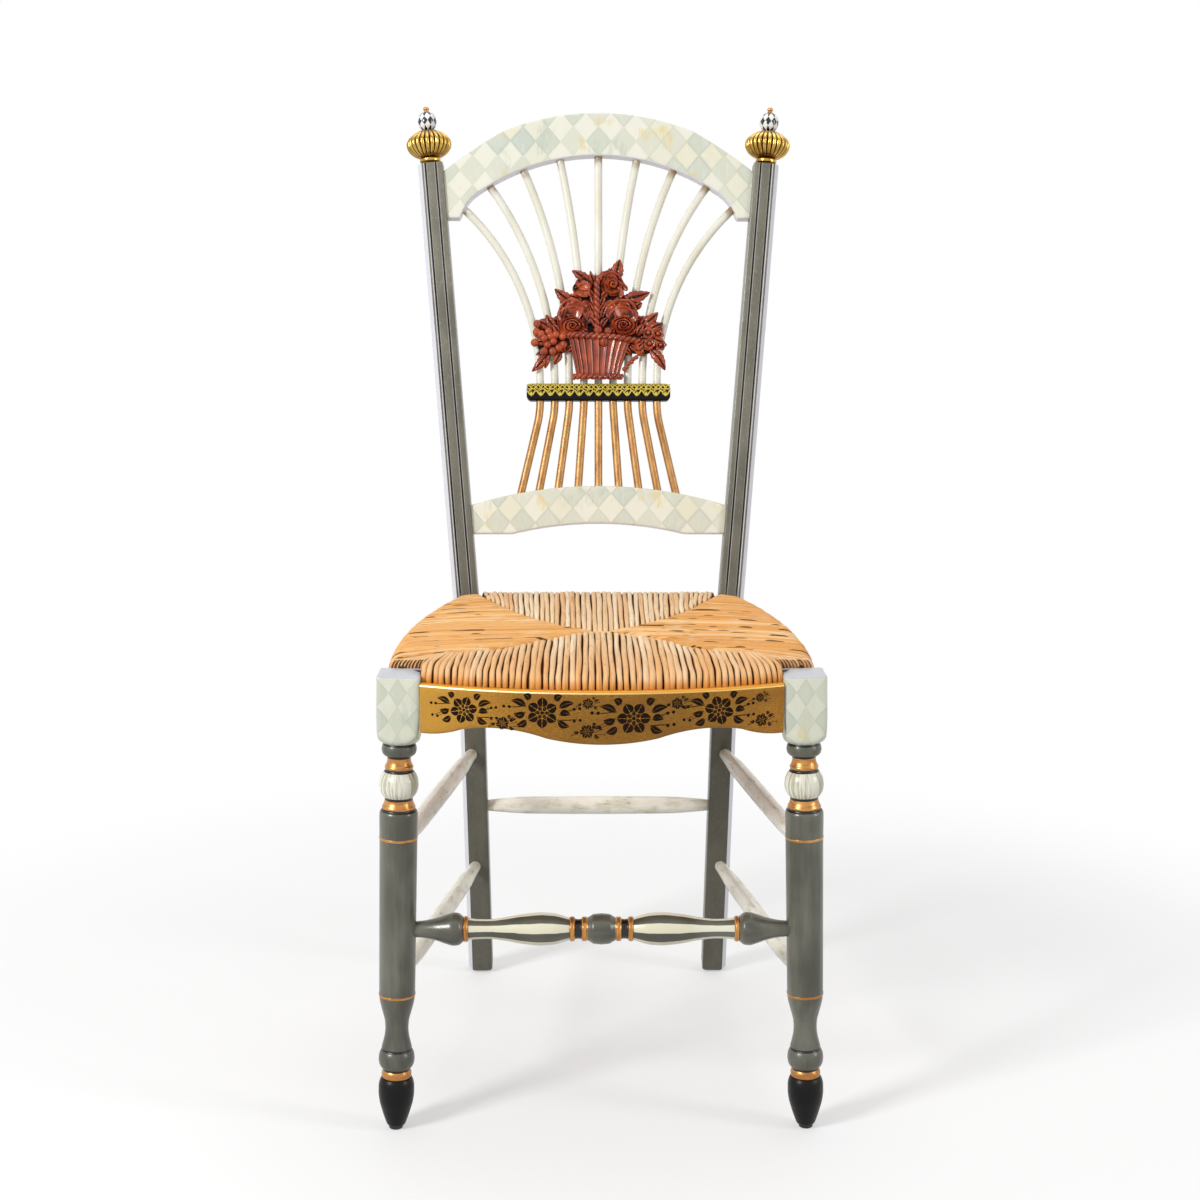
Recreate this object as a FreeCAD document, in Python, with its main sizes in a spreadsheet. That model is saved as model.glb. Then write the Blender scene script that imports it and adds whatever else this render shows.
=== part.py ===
import FreeCAD, Part
import math
import os
import Sketcher
from FreeCAD import Placement, Rotation, Vector

# A painted side chair with turned front legs, raked rear posts, a crest rail over a fan of nine
# bent spindles, a woven rush seat and a pair of melon finials.
# Millimetres, +Z up, the front towards -Y.
# The origin lies on the floor, below the middle of the chair's bounding box.

SIZES = {
    # plan of the chair, measured between leg axes
    "front_leg_top_spacing": 406.0,
    "front_leg_foot_spacing": 430.0,
    "rear_leg_foot_spacing": 297.0,
    "rear_post_bend_spacing": 304.0,
    "rear_post_top_spacing": 401.0,
    "rear_foot_setback": 455.0,
    "rear_bend_setback": 358.0,
    "rear_bend_drop": 60.0,
    "back_rake_setback": 116.5,
    "back_rise": 586.0,
    # front legs
    "front_leg_height": 487.0,
    "block_side": 43.5,
    "block_height": 57.0,
    "turning_diameter": 40.0,
    "front_glide_height": 5.0,
    "front_glide_diameter": 15.0,
    # rear posts
    "post_width": 30.0,
    "post_depth": 28.0,
    "post_corner": 4.0,
    "post_bend_radius": 300.0,
    "rear_glide_height": 6.0,
    "rear_glide_diameter": 14.0,
    "reed_spacing": 14.0,
    "reed_groove_radius": 1.6,
    "reed_groove_depth": 1.2,
    "reed_start_rise": 62.0,
    "glide_nail_diameter": 3.0,
    "glide_nail_length": 14.0,
    # crest rail
    "crest_top_rise": 647.0,
    "crest_underside_rise": 596.0,
    "crest_end_rise": 520.5,
    "crest_end_height": 56.0,
    "crest_thickness": 20.0,
    # back rail above the seat
    "back_rail_rise": 144.4,
    "back_rail_end_height": 34.0,
    "back_rail_crown": 23.0,
    "back_rail_hollow": 12.5,
    "back_rail_thickness": 20.0,
    # rail tenons
    "rail_tenon_length": 14.0,
    "rail_tenon_height": 24.0,
    "rail_tenon_thickness": 9.0,
    # spindles and waist bar
    "spindle_diameter": 9.4,
    "spindle_waist_pitch": 17.4,
    "spindle_foot_reach": 92.3,
    "spindle_lower_bend_radius": 120.0,
    "spindle_tenon_length": 11.0,
    "waist_bar_rise": 303.0,
    "waist_bar_height": 20.6,
    "waist_bar_length": 171.0,
    "waist_bar_thickness": 17.0,
    "waist_braid_height": 13.0,
    "waist_braid_thickness": 2.4,
    # flower basket ornament
    "basket_rise": 325.0,
    "basket_height": 147.0,
    "basket_width": 160.0,
    "basket_leaf_thickness": 7.0,
    "basket_body_depth": 19.0,
    "basket_rope_diameter": 7.0,
    # finials
    "collar_diameter": 25.0,
    "collar_height": 7.5,
    "melon_diameter": 54.0,
    "melon_height": 33.0,
    "melon_flute_depth": 1.8,
    "ball_diameter": 22.2,
    "cap_diameter": 7.0,
    "finial_rod_diameter": 4.0,
    "finial_rod_depth": 22.0,
    # seat
    "seat_front_drop": 5.0,
    "seat_rise": 8.0,
    "seat_rail_diameter": 20.0,
    "seat_rail_tenon_diameter": 13.0,
    "rush_wrap": 5.0,
    "rush_crown": 2.5,
    "seat_front_bow": 37.0,
    "seat_rail_tenon_length": 10.0,
    "seat_rail_shoulder_gap": 4.5,
    "seat_front_end_setback": 9.75,
    "seat_side_bow": 16.0,
    "apron_end_height": 51.0,
    "apron_thickness": 10.0,
    # stretchers
    "stretcher_tenon_diameter": 12.6,
    "stretcher_tenon_length": 15.0,
    "side_stretcher_diameter": 20.0,
    "upper_stretcher_height": 305.0,
    "lower_stretcher_front_height": 163.0,
    "lower_stretcher_rear_height": 152.0,
    "front_stretcher_height": 218.0,
    "front_stretcher_diameter": 34.0,
    "rear_stretcher_height": 232.0,
    "rear_stretcher_diameter": 22.0,
    # clearances and the overrun of every cut
    "fit_clearance": 0.1,
    "rush_clearance": 0.3,
    "cut_overrun": 20.0,
}

SPINDLE_COUNT = 9
MELON_FLUTES = 18
BASKET_RIBS = 9
# Every round piece is ruled through regular polygons; these are their sides.
TURNING_FACETS = 20
ROD_FACETS = 12
SPINDLE_FACETS = 10
SMALL_ROUND_FACETS = 14
POST_BEND_STEPS = 4
SEAT_RAIL_STEPS = 4
SPINDLE_BEND_STEPS = (2, 4)
FRONT_ARC_STEPS = 8
SIDE_ARC_STEPS = 4

# Turned outlines, point by point: (along, radius). Along is a share of the turned length from the
# foot, or of half of it for a stretcher, and radius a share of the largest radius.
LEG_TURNING_SHARES = [
    (0.000, 0.475), (0.041, 0.76), (0.073, 0.91), (0.108, 0.93), (0.122, 0.81), (0.142, 0.7),
    (0.159, 0.9), (0.181, 0.93), (0.202, 0.73), (0.245, 0.63), (0.290, 0.75), (0.332, 0.925),
    (0.800, 0.99), (0.819, 0.78), (0.834, 0.75), (0.853, 0.98), (0.880, 0.98), (0.904, 0.72),
    (0.920, 0.61), (0.939, 0.8), (0.967, 0.87), (1.000, 1.08),
]
SIDE_STRETCHER_HALF_SHARES = [(0.0, 0.63), (0.10, 0.63), (0.42, 0.97)]
SIDE_STRETCHER_MIDDLE_SHARE = 1.0
FRONT_STRETCHER_HALF_SHARES = [
    (0.0, 0.371), (0.075, 0.371), (0.080, 0.45), (0.165, 0.64), (0.215, 0.93), (0.268, 1.0),
    (0.308, 0.72), (0.335, 0.72), (0.340, 0.59), (0.440, 0.58), (0.600, 0.89), (0.720, 1.0),
    (0.838, 0.70), (0.866, 0.72), (0.870, 0.60), (0.900, 0.60), (0.904, 0.71), (0.934, 0.71),
    (0.965, 0.90),
]
FRONT_STRETCHER_MIDDLE_SHARE = 0.94
BALL_SHARES = [(0.0, 0.40), (0.14, 0.74), (0.36, 0.97), (0.62, 0.97), (0.84, 0.74), (1.0, 0.36)]
CAP_SHARES = [(0.0, 0.84), (0.20, 0.80), (0.50, 1.0), (0.78, 0.86), (1.0, 0.40)]
COLLAR_SHARES = [(0.0, 0.66), (0.30, 0.70), (0.48, 1.0), (0.85, 1.0), (1.0, 0.86)]
GLIDE_SHARES = [(0.0, 0.86), (0.25, 1.0), (1.0, 1.0)]

# Heights of the melon's rings and their radii, as shares of its height and largest radius.
MELON_RING_SHARES = [(0.0, 0.42), (0.16, 0.77), (0.40, 0.99), (0.62, 0.98), (0.86, 0.73), (1.0, 0.40)]

# The crest rail's outline, as shares of its half length and of its end-to-crown heights.
CREST_ARCH_SHARES = (0.615, 0.685)
CREST_SHOULDER_SHARES = (0.80, 0.385)
CREST_HOLLOW_FLAT_SHARE = 0.917
CREST_HOLLOW_KNEE_SHARES = (0.878, 0.205)
CREST_HOLLOW_SHARES = (0.811, 0.381)
# Where the back rail's underside leaves its flat ends, as a share of its half length.
BACK_RAIL_FLAT_SHARE = 0.69
# How far out each spindle stands: at the foot as shares of the outermost one's place, and at the
# top as shares of the crest rail's half length along its underside.
SPINDLE_FOOT_SHARES = (0.0, 0.262, 0.518, 0.764, 1.0)
SPINDLE_TOP_SHARES = (0.0, 0.255, 0.497, 0.720, 0.889)
# The apron's serpentine edge: (half-length share, depth share).
APRON_EDGE_SHARES = [(0.90, 0.98, 0.76, 0.85), (0.50, 0.80, 0.30, 0.95)]
APRON_CENTRE_SHARE = 1.06

# The rush seat's rounded edge: (inset, height) as shares of the roll's radius.
RUSH_ROLL_SHARES = [(0.72, -1.0), (0.30, -0.80), (0.0, 0.0), (0.10, 0.50), (0.36, 0.83), (0.85, 1.0)]
RUSH_FIELD_INSET_SHARE = 4.4

# The foliage's outline in half widths and heights of the ornament, leaf tip by leaf tip.
FOLIAGE_OUTLINE_SHARES = [
    (-0.30, 0.10), (-0.52, 0.14), (-0.98, 0.08), (-0.86, 0.22), (-0.97, 0.34), (-0.84, 0.44),
    (-0.75, 0.56), (-0.56, 0.57), (-0.50, 0.68), (-0.66, 0.76), (-0.42, 0.76), (-0.30, 0.80),
    (-0.40, 0.91), (-0.16, 0.87), (0.02, 0.87), (0.18, 0.89), (0.31, 0.995), (0.34, 0.85),
    (0.40, 0.72), (0.77, 0.725), (0.56, 0.61), (0.72, 0.50), (0.88, 0.56), (0.92, 0.42),
    (0.99, 0.30), (0.84, 0.22), (0.99, 0.10), (0.60, 0.20), (0.30, 0.10),
]
# The basket's rings from its foot to its rim: (height, half width, depth) shares.
BASKET_RING_SHARES = [
    (0.0, 0.335, 0.74), (0.028, 0.365, 0.86), (0.056, 0.33, 0.72), (0.062, 0.30, 0.62),
    (0.335, 0.46, 0.84), (0.34, 0.49, 0.92), (0.362, 0.52, 1.0), (0.385, 0.49, 0.90),
]
BASKET_RIB_SHARE = 0.90
# Flower heads: (half-width share, height share, radius share of the half width, depth share).
FLOWER_SHARES = [
    (-0.385, 0.465, 0.215, 1.0), (0.37, 0.47, 0.195, 1.0), (0.20, 0.755, 0.17, 0.85),
    (-0.24, 0.74, 0.15, 0.75), (-0.70, 0.34, 0.20, 0.75), (0.74, 0.34, 0.19, 0.75),
]
# Where a flower head turns in from its rim, and how wide it is at its face.
FLOWER_BREAK_SHARES = (0.55, 0.55)
HANDLE_RISE_SHARES = (0.36, 0.83)

document = FreeCAD.newDocument("PaintedSideChair")
sheet = document.addObject("Spreadsheet::Sheet", "Sizes")
for row, (alias, value) in enumerate(SIZES.items(), start=1):
    sheet.set(f"A{row}", alias)
    sheet.set(f"B{row}", str(value))
    sheet.setAlias(f"B{row}", alias)
document.recompute()


class Size:
    """A length from the sheet, or worked out from such lengths, with the expression that says how."""

    def __init__(self, value, text):
        self.value = value
        self.text = text

    def __add__(self, other):
        return combined(self, other, "+", self.value + number(other))

    def __sub__(self, other):
        return combined(self, other, "-", self.value - number(other))

    def __mul__(self, other):
        return combined(self, other, "*", self.value * number(other))

    def __truediv__(self, other):
        return combined(self, other, "/", self.value / number(other))

    def __neg__(self):
        return Size(-self.value, f"(-1 * {self.text})")

    __rmul__ = __mul__


def number(term):
    return term.value if isinstance(term, Size) else term


def combined(first, second, sign, value):
    second_text = second.text if isinstance(second, Size) else f"{second:.6f}"
    return Size(value, f"({first.text} {sign} {second_text})")


def size(alias):
    return Size(float(sheet.get(alias)), f"Sizes.{alias}")


def millimetres(alias):
    return float(sheet.get(alias))


ZERO = Size(0.0, "0")
CLEARANCE = millimetres("fit_clearance")
OVERRUN = millimetres("cut_overrun")
UPRIGHT = Vector(0, 0, 1)
RIGHTWARD = Vector(1, 0, 0)
BACKWARD = Vector(0, 1, 0)
SIDES = {"left": -1, "right": 1}
LEVELS = ("upper", "lower")
FLATNESS = 1e-6

# The seat hangs from the tops of the front legs, and the rear posts bend a little below it.
SEAT_FRONT_HEIGHT = size("front_leg_height") - size("seat_front_drop")
SEAT_REAR_HEIGHT = SEAT_FRONT_HEIGHT + size("seat_rise")
REAR_BEND_HEIGHT = SEAT_REAR_HEIGHT - size("rear_bend_drop")


# Frames of the chair

BACK_RAKE = math.degrees(math.asin(millimetres("back_rake_setback") / millimetres("back_rise")))
MELON_CENTRE_RISE = (
    millimetres("back_rise") + millimetres("collar_height") + millimetres("melon_height") / 2
)
BACK_EXTREME = (
    millimetres("rear_bend_setback")
    + math.sin(math.radians(BACK_RAKE)) * MELON_CENTRE_RISE
    + math.cos(math.radians(BACK_RAKE)) * millimetres("melon_diameter") / 2
)
SEAT_FRONT_END = -(millimetres("block_side") / 2 - millimetres("seat_front_end_setback"))
RUSH_FRONT = SEAT_FRONT_END - millimetres("seat_front_bow")
FRONT_EXTREME = RUSH_FRONT - millimetres("rush_clearance") - millimetres("apron_thickness")
DEPTH_SHIFT = -(BACK_EXTREME + FRONT_EXTREME) / 2


def chair_point(x, y, z):
    """A point given from the line between the front leg axes, in the part's own frame."""
    return Vector(x, y + DEPTH_SHIFT, z)


BACK_FRAME = Placement(
    chair_point(0, millimetres("rear_bend_setback"), REAR_BEND_HEIGHT.value),
    Rotation(RIGHTWARD, -BACK_RAKE),
)


def back_point(x, rise, out=0.0):
    """A point in the raked plane of the back, out being its distance in front of that plane."""
    return BACK_FRAME.multVec(Vector(x, -out, rise))


def along(start, end):
    """A placement at start whose Z axis points to end."""
    return Placement(start, Rotation(UPRIGHT, end - start))


def front_leg_point(side, height):
    top = millimetres("front_leg_height")
    reach = millimetres("front_leg_foot_spacing") / 2
    reach += (millimetres("front_leg_top_spacing") / 2 - reach) * height / top
    return chair_point(side * reach, 0, height)


def rear_leg_point(side, height):
    share = height / REAR_BEND_HEIGHT.value
    foot = millimetres("rear_leg_foot_spacing") / 2
    bend = millimetres("rear_post_bend_spacing") / 2
    setback = millimetres("rear_foot_setback")
    setback += (millimetres("rear_bend_setback") - setback) * share
    return chair_point(side * (foot + (bend - foot) * share), setback, height)


def post_reach(rise):
    """Half the spacing of the post axes at a rise up the back."""
    bend = millimetres("rear_post_bend_spacing") / 2
    top = millimetres("rear_post_top_spacing") / 2
    return bend + (top - bend) * rise / millimetres("back_rise")


POST_LEAN_SLOPE = (post_reach(millimetres("back_rise")) - post_reach(0)) / millimetres("back_rise")
POST_HALF_FACE = millimetres("post_width") / 2 * math.sqrt(1 + POST_LEAN_SLOPE ** 2)


# Drawing helpers

def origin_plane(body, role):
    return next(feature for feature in body.Origin.OriginFeatures if feature.Role == role)


def new_body(name):
    return document.addObject("PartDesign::Body", name + "_body")


def new_sketch(body, name, role, offset=None):
    sketch = body.newObject("Sketcher::SketchObject", name)
    sketch.AttachmentSupport = [(origin_plane(body, role), "")]
    sketch.MapMode = "FlatFace"
    if offset is not None:
        sketch.AttachmentOffset = Placement(Vector(0, 0, offset.value), Rotation())
        sketch.setExpression("AttachmentOffset.Base.z", offset.text)
    return sketch


def pin(sketch, geometry, position, point):
    """Fix a vertex at a point whose two coordinates are sizes."""
    for kind, axis, coordinate in (("DistanceX", -2, point[0]), ("DistanceY", -1, point[1])):
        if coordinate.text == "0":
            sketch.addConstraint(Sketcher.Constraint("PointOnObject", geometry, position, axis))
        elif coordinate.value > 0:
            index = sketch.addConstraint(
                Sketcher.Constraint(kind, -1, 1, geometry, position, coordinate.value)
            )
            sketch.setExpression(f"Constraints[{index}]", coordinate.text)
        else:
            index = sketch.addConstraint(
                Sketcher.Constraint(kind, geometry, position, -1, 1, -coordinate.value)
            )
            sketch.setExpression(f"Constraints[{index}]", (-coordinate).text)


def flat(point):
    return Vector(point[0].value, point[1].value, 0)


def draw_outline(sketch, points):
    """Draw a closed outline; an item is a corner, or (middle, end) for an arc to that end."""
    ends = [item[1] if isinstance(item[0], tuple) else item for item in points]
    middles = [item[0] if isinstance(item[0], tuple) else None for item in points]
    starts, finishes = [], []
    for number_of, end in enumerate(ends):
        start = ends[number_of - 1]
        middle = middles[number_of]
        if middle is None:
            edge = sketch.addGeometry(Part.LineSegment(flat(start), flat(end)), False)
            first, last = 1, 2
        else:
            turn = (flat(middle) - flat(start)).cross(flat(end) - flat(middle)).z
            ordered = (start, middle, end) if turn > 0 else (end, middle, start)
            edge = sketch.addGeometry(Part.Arc(*[flat(point) for point in ordered]), False)
            first, last = (1, 2) if turn > 0 else (2, 1)
            dot = sketch.addGeometry(Part.Point(flat(middle)), True)
            pin(sketch, dot, 1, middle)
            sketch.addConstraint(Sketcher.Constraint("PointOnObject", dot, 1, edge))
        starts.append((edge, first))
        finishes.append((edge, last))
    for number_of, end in enumerate(ends):
        following = starts[(number_of + 1) % len(ends)]
        finish = finishes[number_of]
        sketch.addConstraint(Sketcher.Constraint("Coincident", *finish, *following))
        pin(sketch, *finish, end)


def pad(body, name, points, thickness, role="XZ_Plane", midplane=True, offset=None):
    sketch = new_sketch(body, name + "_outline", role, offset)
    draw_outline(sketch, points)
    feature = body.newObject("PartDesign::Pad", name + "_pad")
    feature.Profile = sketch
    feature.Midplane = midplane
    feature.Length = thickness.value
    feature.setExpression("Length", thickness.text)
    return feature


def cylinder(name, diameter, length, placement):
    tool = document.addObject("Part::Cylinder", name)
    tool.setExpression("Radius", (diameter / 2).text)
    tool.setExpression("Height", length.text)
    tool.Placement = placement
    return tool


def box(name, width, depth, height, placement):
    """A box centred on its placement in X and Y, rising in Z."""
    tool = document.addObject("Part::Box", name)
    tool.setExpression("Length", width.text)
    tool.setExpression("Width", depth.text)
    tool.setExpression("Height", height.text)
    tool.Placement = placement.multiply(
        Placement(Vector(-width.value / 2, -depth.value / 2, 0), Rotation())
    )
    return tool


def cut(name, base, tools):
    """Cut the tools from the base one after another; the last result is a sub-part."""
    for number_of, tool in enumerate(tools, start=1):
        stage = name if number_of == len(tools) else f"{name}_stage_{number_of}"
        result = document.addObject("Part::Cut", stage)
        result.Base = base
        result.Tool = tool
        base = result
    return keep(base, name)


SUBPARTS = []


def keep(piece, name):
    piece.Label = name
    SUBPARTS.append(piece)
    return piece


def solid_from_code(name, shape, placement=None):
    """A sub-part, or a tool for one, whose surface is worked out here from the sheet's sizes."""
    feature = document.addObject("Part::Feature", name)
    feature.Shape = shape
    if placement is not None:
        feature.Placement = placement
    return feature


# Shapes worked out in code: routes that bend in space, the seat and the fluted pieces

def circle_through(first, middle, last):
    """Centre and radius of the circle through three points of a plane."""
    circle = Part.Arc(first, middle, last).toShape().Curve
    return circle.Center, circle.Radius


def ruled_solid(rings):
    """A solid with flat faces between rings of equally many corners; a warped face is halved."""
    outlines = [rings[0], rings[-1]]
    for lower, upper in zip(rings, rings[1:]):
        for number_of in range(len(lower)):
            first, second = lower[number_of - 1], lower[number_of]
            third, fourth = upper[number_of], upper[number_of - 1]
            normal = (second - first).cross(fourth - first).normalize()
            if abs((third - first).dot(normal)) < FLATNESS:
                outlines.append([first, second, third, fourth])
            else:
                outlines += [[first, second, third], [first, third, fourth]]
    shell = Part.makeShell([Part.Face(Part.makePolygon(item + item[:1])) for item in outlines])
    shell.sewShape()
    solid = Part.makeSolid(shell)
    return solid if solid.Volume > 0 else solid.reversed()


def facet_ring(centre, direction, across, radius, facets):
    """A regular polygon square to a direction, whose first corner lies towards across."""
    ahead = Vector(direction).normalize()
    first = (across - ahead * across.dot(ahead)).normalize()
    second = ahead.cross(first)
    corners = []
    for corner in range(facets):
        angle = 2 * math.pi * corner / facets
        corners.append(centre + first * (radius * math.cos(angle)) + second * (radius * math.sin(angle)))
    return corners


def faceted_rod(stations, across, facets=ROD_FACETS):
    """A rod ruled through polygons; a station is (centre, direction, radius)."""
    return ruled_solid([facet_ring(*station[:2], across, station[2], facets) for station in stations])


def turned_stations(shares, length, radius, base=0.0):
    """Stations up the Z axis from (along, radius) shares."""
    return [(UPRIGHT * (base + length * height), UPRIGHT, radius * share) for height, share in shares]


def faceted_turning(shares, length, radius, facets=SMALL_ROUND_FACETS):
    """A round piece ruled through polygons along its own Z axis."""
    return faceted_rod(turned_stations(shares, length, radius), RIGHTWARD, facets)


def prism(start, end, across, diameter, facets=ROD_FACETS):
    """A straight rod; its faces clear a round piece of the given diameter."""
    run = end - start
    radius = diameter / 2 / math.cos(math.pi / facets)
    return faceted_rod([(start, run, radius), (end, run, radius)], across, facets)


def post_shape(side, growth=0.0):
    """A rear post: an eight-sided section ruled along a route that bends back above the seat."""
    foot = rear_leg_point(side, 0)
    corner = rear_leg_point(side, REAR_BEND_HEIGHT.value)
    top = back_point(side * post_reach(millimetres("back_rise")), millimetres("back_rise") + growth)
    first = (corner - foot).normalize()
    second = (top - corner).normalize()
    turn_angle = first.getAngle(second)
    radius = millimetres("post_bend_radius")
    reach = radius * math.tan(turn_angle / 2)
    inward = (second - first * second.dot(first)).normalize()
    centre = corner - first * reach + inward * radius
    half_width = millimetres("post_width") / 2 + growth
    half_depth = millimetres("post_depth") / 2 + growth
    nick = millimetres("post_corner")
    section = [
        (half_width, half_depth - nick), (half_width - nick, half_depth),
        (nick - half_width, half_depth), (-half_width, half_depth - nick),
        (-half_width, nick - half_depth), (nick - half_width, -half_depth),
        (half_width - nick, -half_depth), (half_width, nick - half_depth),
    ]
    stations = [(foot, first)]
    for step in range(POST_BEND_STEPS + 1):
        angle = turn_angle * step / POST_BEND_STEPS
        ahead = first * math.cos(angle) + inward * math.sin(angle)
        aside = first * math.sin(angle) - inward * math.cos(angle)
        stations.append((centre + aside * radius, ahead))
    stations.append((top, second))
    rings = []
    for point, ahead in stations:
        across = (RIGHTWARD - ahead * ahead.x).normalize()
        fore = ahead.cross(across)
        rings.append([point + across * u + fore * v for u, v in section])
    return ruled_solid(rings)


# Seat plane: the roll of rush and the rails in it rise a little to the rear

RAIL_RADIUS = millimetres("seat_rail_diameter") / 2
ROLL_RADIUS = RAIL_RADIUS + millimetres("rush_wrap")
REAR_RAIL_RISE = (SEAT_REAR_HEIGHT.value - REAR_BEND_HEIGHT.value) / math.cos(
    math.radians(BACK_RAKE)
)
REAR_RAIL_SETBACK = millimetres("rear_bend_setback") + REAR_RAIL_RISE * math.sin(
    math.radians(BACK_RAKE)
)
FRONT_RAIL_SETBACK = RUSH_FRONT + ROLL_RADIUS
SEAT_SLOPE = (SEAT_REAR_HEIGHT.value - SEAT_FRONT_HEIGHT.value) / (
    REAR_RAIL_SETBACK - FRONT_RAIL_SETBACK
)
BLOCK_HALF = millimetres("block_side") / 2
POST_HALF_DEPTH = millimetres("post_depth") / 2 / math.cos(math.radians(BACK_RAKE))


def seat_point(x, setback):
    rise = (setback - FRONT_RAIL_SETBACK) * SEAT_SLOPE
    return chair_point(x, setback, SEAT_FRONT_HEIGHT.value + rise)


def block_inner_face(height):
    return front_leg_point(1, height).x - BLOCK_HALF


def rail_edge(route):
    """A seat rail's middle line, an arc through three points or a straight run between two."""
    if len(route) == 3:
        return Part.Arc(*route).toShape()
    return Part.LineSegment(*route).toShape()


def rail_ends(route):
    """The two ends of a seat rail's middle line, each with the direction that leads out of it."""
    edge = rail_edge(route)
    return (
        (route[0], edge.tangentAt(edge.FirstParameter) * -1),
        (route[-1], edge.tangentAt(edge.LastParameter)),
    )


def tenoned_rail(route, clearance=0.0):
    """A seat rail along its middle line, tapering to a straight tenon at each end."""
    edge = rail_edge(route)
    radius = RAIL_RADIUS + clearance
    tenon_radius = millimetres("seat_rail_tenon_diameter") / 2 + clearance
    gap = millimetres("seat_rail_shoulder_gap")
    tip = gap + millimetres("seat_rail_tenon_length") + clearance
    steps = SEAT_RAIL_STEPS if len(route) == 3 else 1
    span = edge.LastParameter - edge.FirstParameter
    (start, start_out), (end, end_out) = rail_ends(route)
    inward = start_out * -1
    stations = [
        (start + start_out * tip, inward, tenon_radius), (start + start_out * gap, inward, tenon_radius),
    ]
    for step in range(steps + 1):
        parameter = edge.FirstParameter + span * step / steps
        stations.append((edge.valueAt(parameter), edge.tangentAt(parameter), radius))
    stations += [(end + end_out * gap, end_out, tenon_radius), (end + end_out * tip, end_out, tenon_radius)]
    return faceted_rod(stations, UPRIGHT)


def rail_socket(route, end_index):
    """The hole for a seat rail's tenon, as deep as the tenon and a clearance."""
    point, outward = rail_ends(route)[end_index]
    depth = millimetres("seat_rail_shoulder_gap") + millimetres("seat_rail_tenon_length") + CLEARANCE
    radius = millimetres("seat_rail_tenon_diameter") / 2 + CLEARANCE
    direction = outward * (1 - 2 * (end_index == 0))
    ends = [(point, direction, radius), (point + outward * depth, direction, radius)]
    return faceted_rod(ends if end_index else ends[::-1], UPRIGHT)


def front_rail_route():
    reach = block_inner_face(SEAT_FRONT_HEIGHT.value) - millimetres("seat_rail_shoulder_gap")
    end = SEAT_FRONT_END + ROLL_RADIUS
    return [seat_point(-reach, end), seat_point(0, FRONT_RAIL_SETBACK), seat_point(reach, end)]


def side_rail_route(side):
    front = front_leg_point(side, SEAT_FRONT_HEIGHT.value).x
    rear = side * post_reach(REAR_RAIL_RISE)
    gap = millimetres("seat_rail_shoulder_gap")
    start = seat_point(front, BLOCK_HALF + gap)
    end = seat_point(rear, REAR_RAIL_SETBACK - POST_HALF_DEPTH - gap)
    middle = (start + end) / 2 + RIGHTWARD * (side * millimetres("seat_side_bow"))
    return [start, middle, end]


def rear_rail_route():
    reach = post_reach(REAR_RAIL_RISE) - POST_HALF_FACE - millimetres("seat_rail_shoulder_gap")
    return [seat_point(-reach, REAR_RAIL_SETBACK), seat_point(reach, REAR_RAIL_SETBACK)]


def rush_outline(inset, height):
    """The seat's plan at one level, drawn in towards the middle by an inset."""
    front_reach = block_inner_face(SEAT_FRONT_HEIGHT.value)
    start, middle, end = side_rail_route(1)
    middle_setback = (FRONT_EXTREME + REAR_RAIL_SETBACK) / 2 + DEPTH_SHIFT
    rear = REAR_RAIL_SETBACK + ROLL_RADIUS + DEPTH_SHIFT
    half = [
        Vector(front_reach, SEAT_FRONT_END + DEPTH_SHIFT, 0),
        Vector(start.x + ROLL_RADIUS, start.y, 0),
        Vector(middle.x + ROLL_RADIUS, middle.y, 0),
        Vector(end.x + ROLL_RADIUS, end.y, 0),
        Vector(end.x, rear, 0),
    ]
    shrink = 1 - inset / half[2].x

    def level(point, mirror=1):
        x = point.x * shrink * mirror
        y = middle_setback + (point.y - middle_setback) * shrink
        setback = y - DEPTH_SHIFT
        return seat_point(x, setback) + UPRIGHT * height

    right = [level(point) for point in half]
    left = [level(point, -1) for point in half]
    nose = level(Vector(0, RUSH_FRONT + DEPTH_SHIFT, 0))
    corners = Part.Arc(left[0], nose, right[0]).toShape().discretize(FRONT_ARC_STEPS + 1)
    corners += Part.Arc(right[1], right[2], right[3]).toShape().discretize(SIDE_ARC_STEPS + 1)
    corners += [right[4], left[4]]
    return corners + Part.Arc(left[3], left[2], left[1]).toShape().discretize(SIDE_ARC_STEPS + 1)


def rush_shape():
    """Rush wound over the four rails: a rolled edge and a gently crowned top."""
    levels = [
        rush_outline(inset * ROLL_RADIUS, height * ROLL_RADIUS) for inset, height in RUSH_ROLL_SHARES
    ]
    field_inset = RUSH_FIELD_INSET_SHARE * ROLL_RADIUS
    levels.append(rush_outline(field_inset, ROLL_RADIUS + millimetres("rush_crown")))
    return ruled_solid(levels)


def scalloped_ring(count, ridge, groove, height):
    """A closed polygon whose corners stand on ridges and in grooves in turn."""
    corners = []
    for step in range(count * 2):
        angle = math.pi * step / count
        radius = ridge if step % 2 else groove
        corners.append(Vector(radius * math.cos(angle), radius * math.sin(angle), height))
    return corners


def melon_shape():
    """A fluted melon: ruled between scalloped rings that swell and close again."""
    radius = millimetres("melon_diameter") / 2
    depth_share = millimetres("melon_flute_depth") / radius
    rings = [
        scalloped_ring(
            MELON_FLUTES, radius * share, radius * share * (1 - depth_share),
            millimetres("melon_height") * height,
        )
        for height, share in MELON_RING_SHARES
    ]
    return ruled_solid(rings)


def ribbed_half_ring(half_width, depth, rise):
    """Half an ellipse with ribs, flat at the back; X across, -Y to the front."""
    corners = []
    steps = BASKET_RIBS * 2
    for step in range(steps + 1):
        angle = math.pi * step / steps
        share = 1.0 if step % 2 else BASKET_RIB_SHARE
        corners.append(Vector(
            half_width * share * math.cos(angle), -depth * share * math.sin(angle), rise
        ))
    return corners


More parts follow.
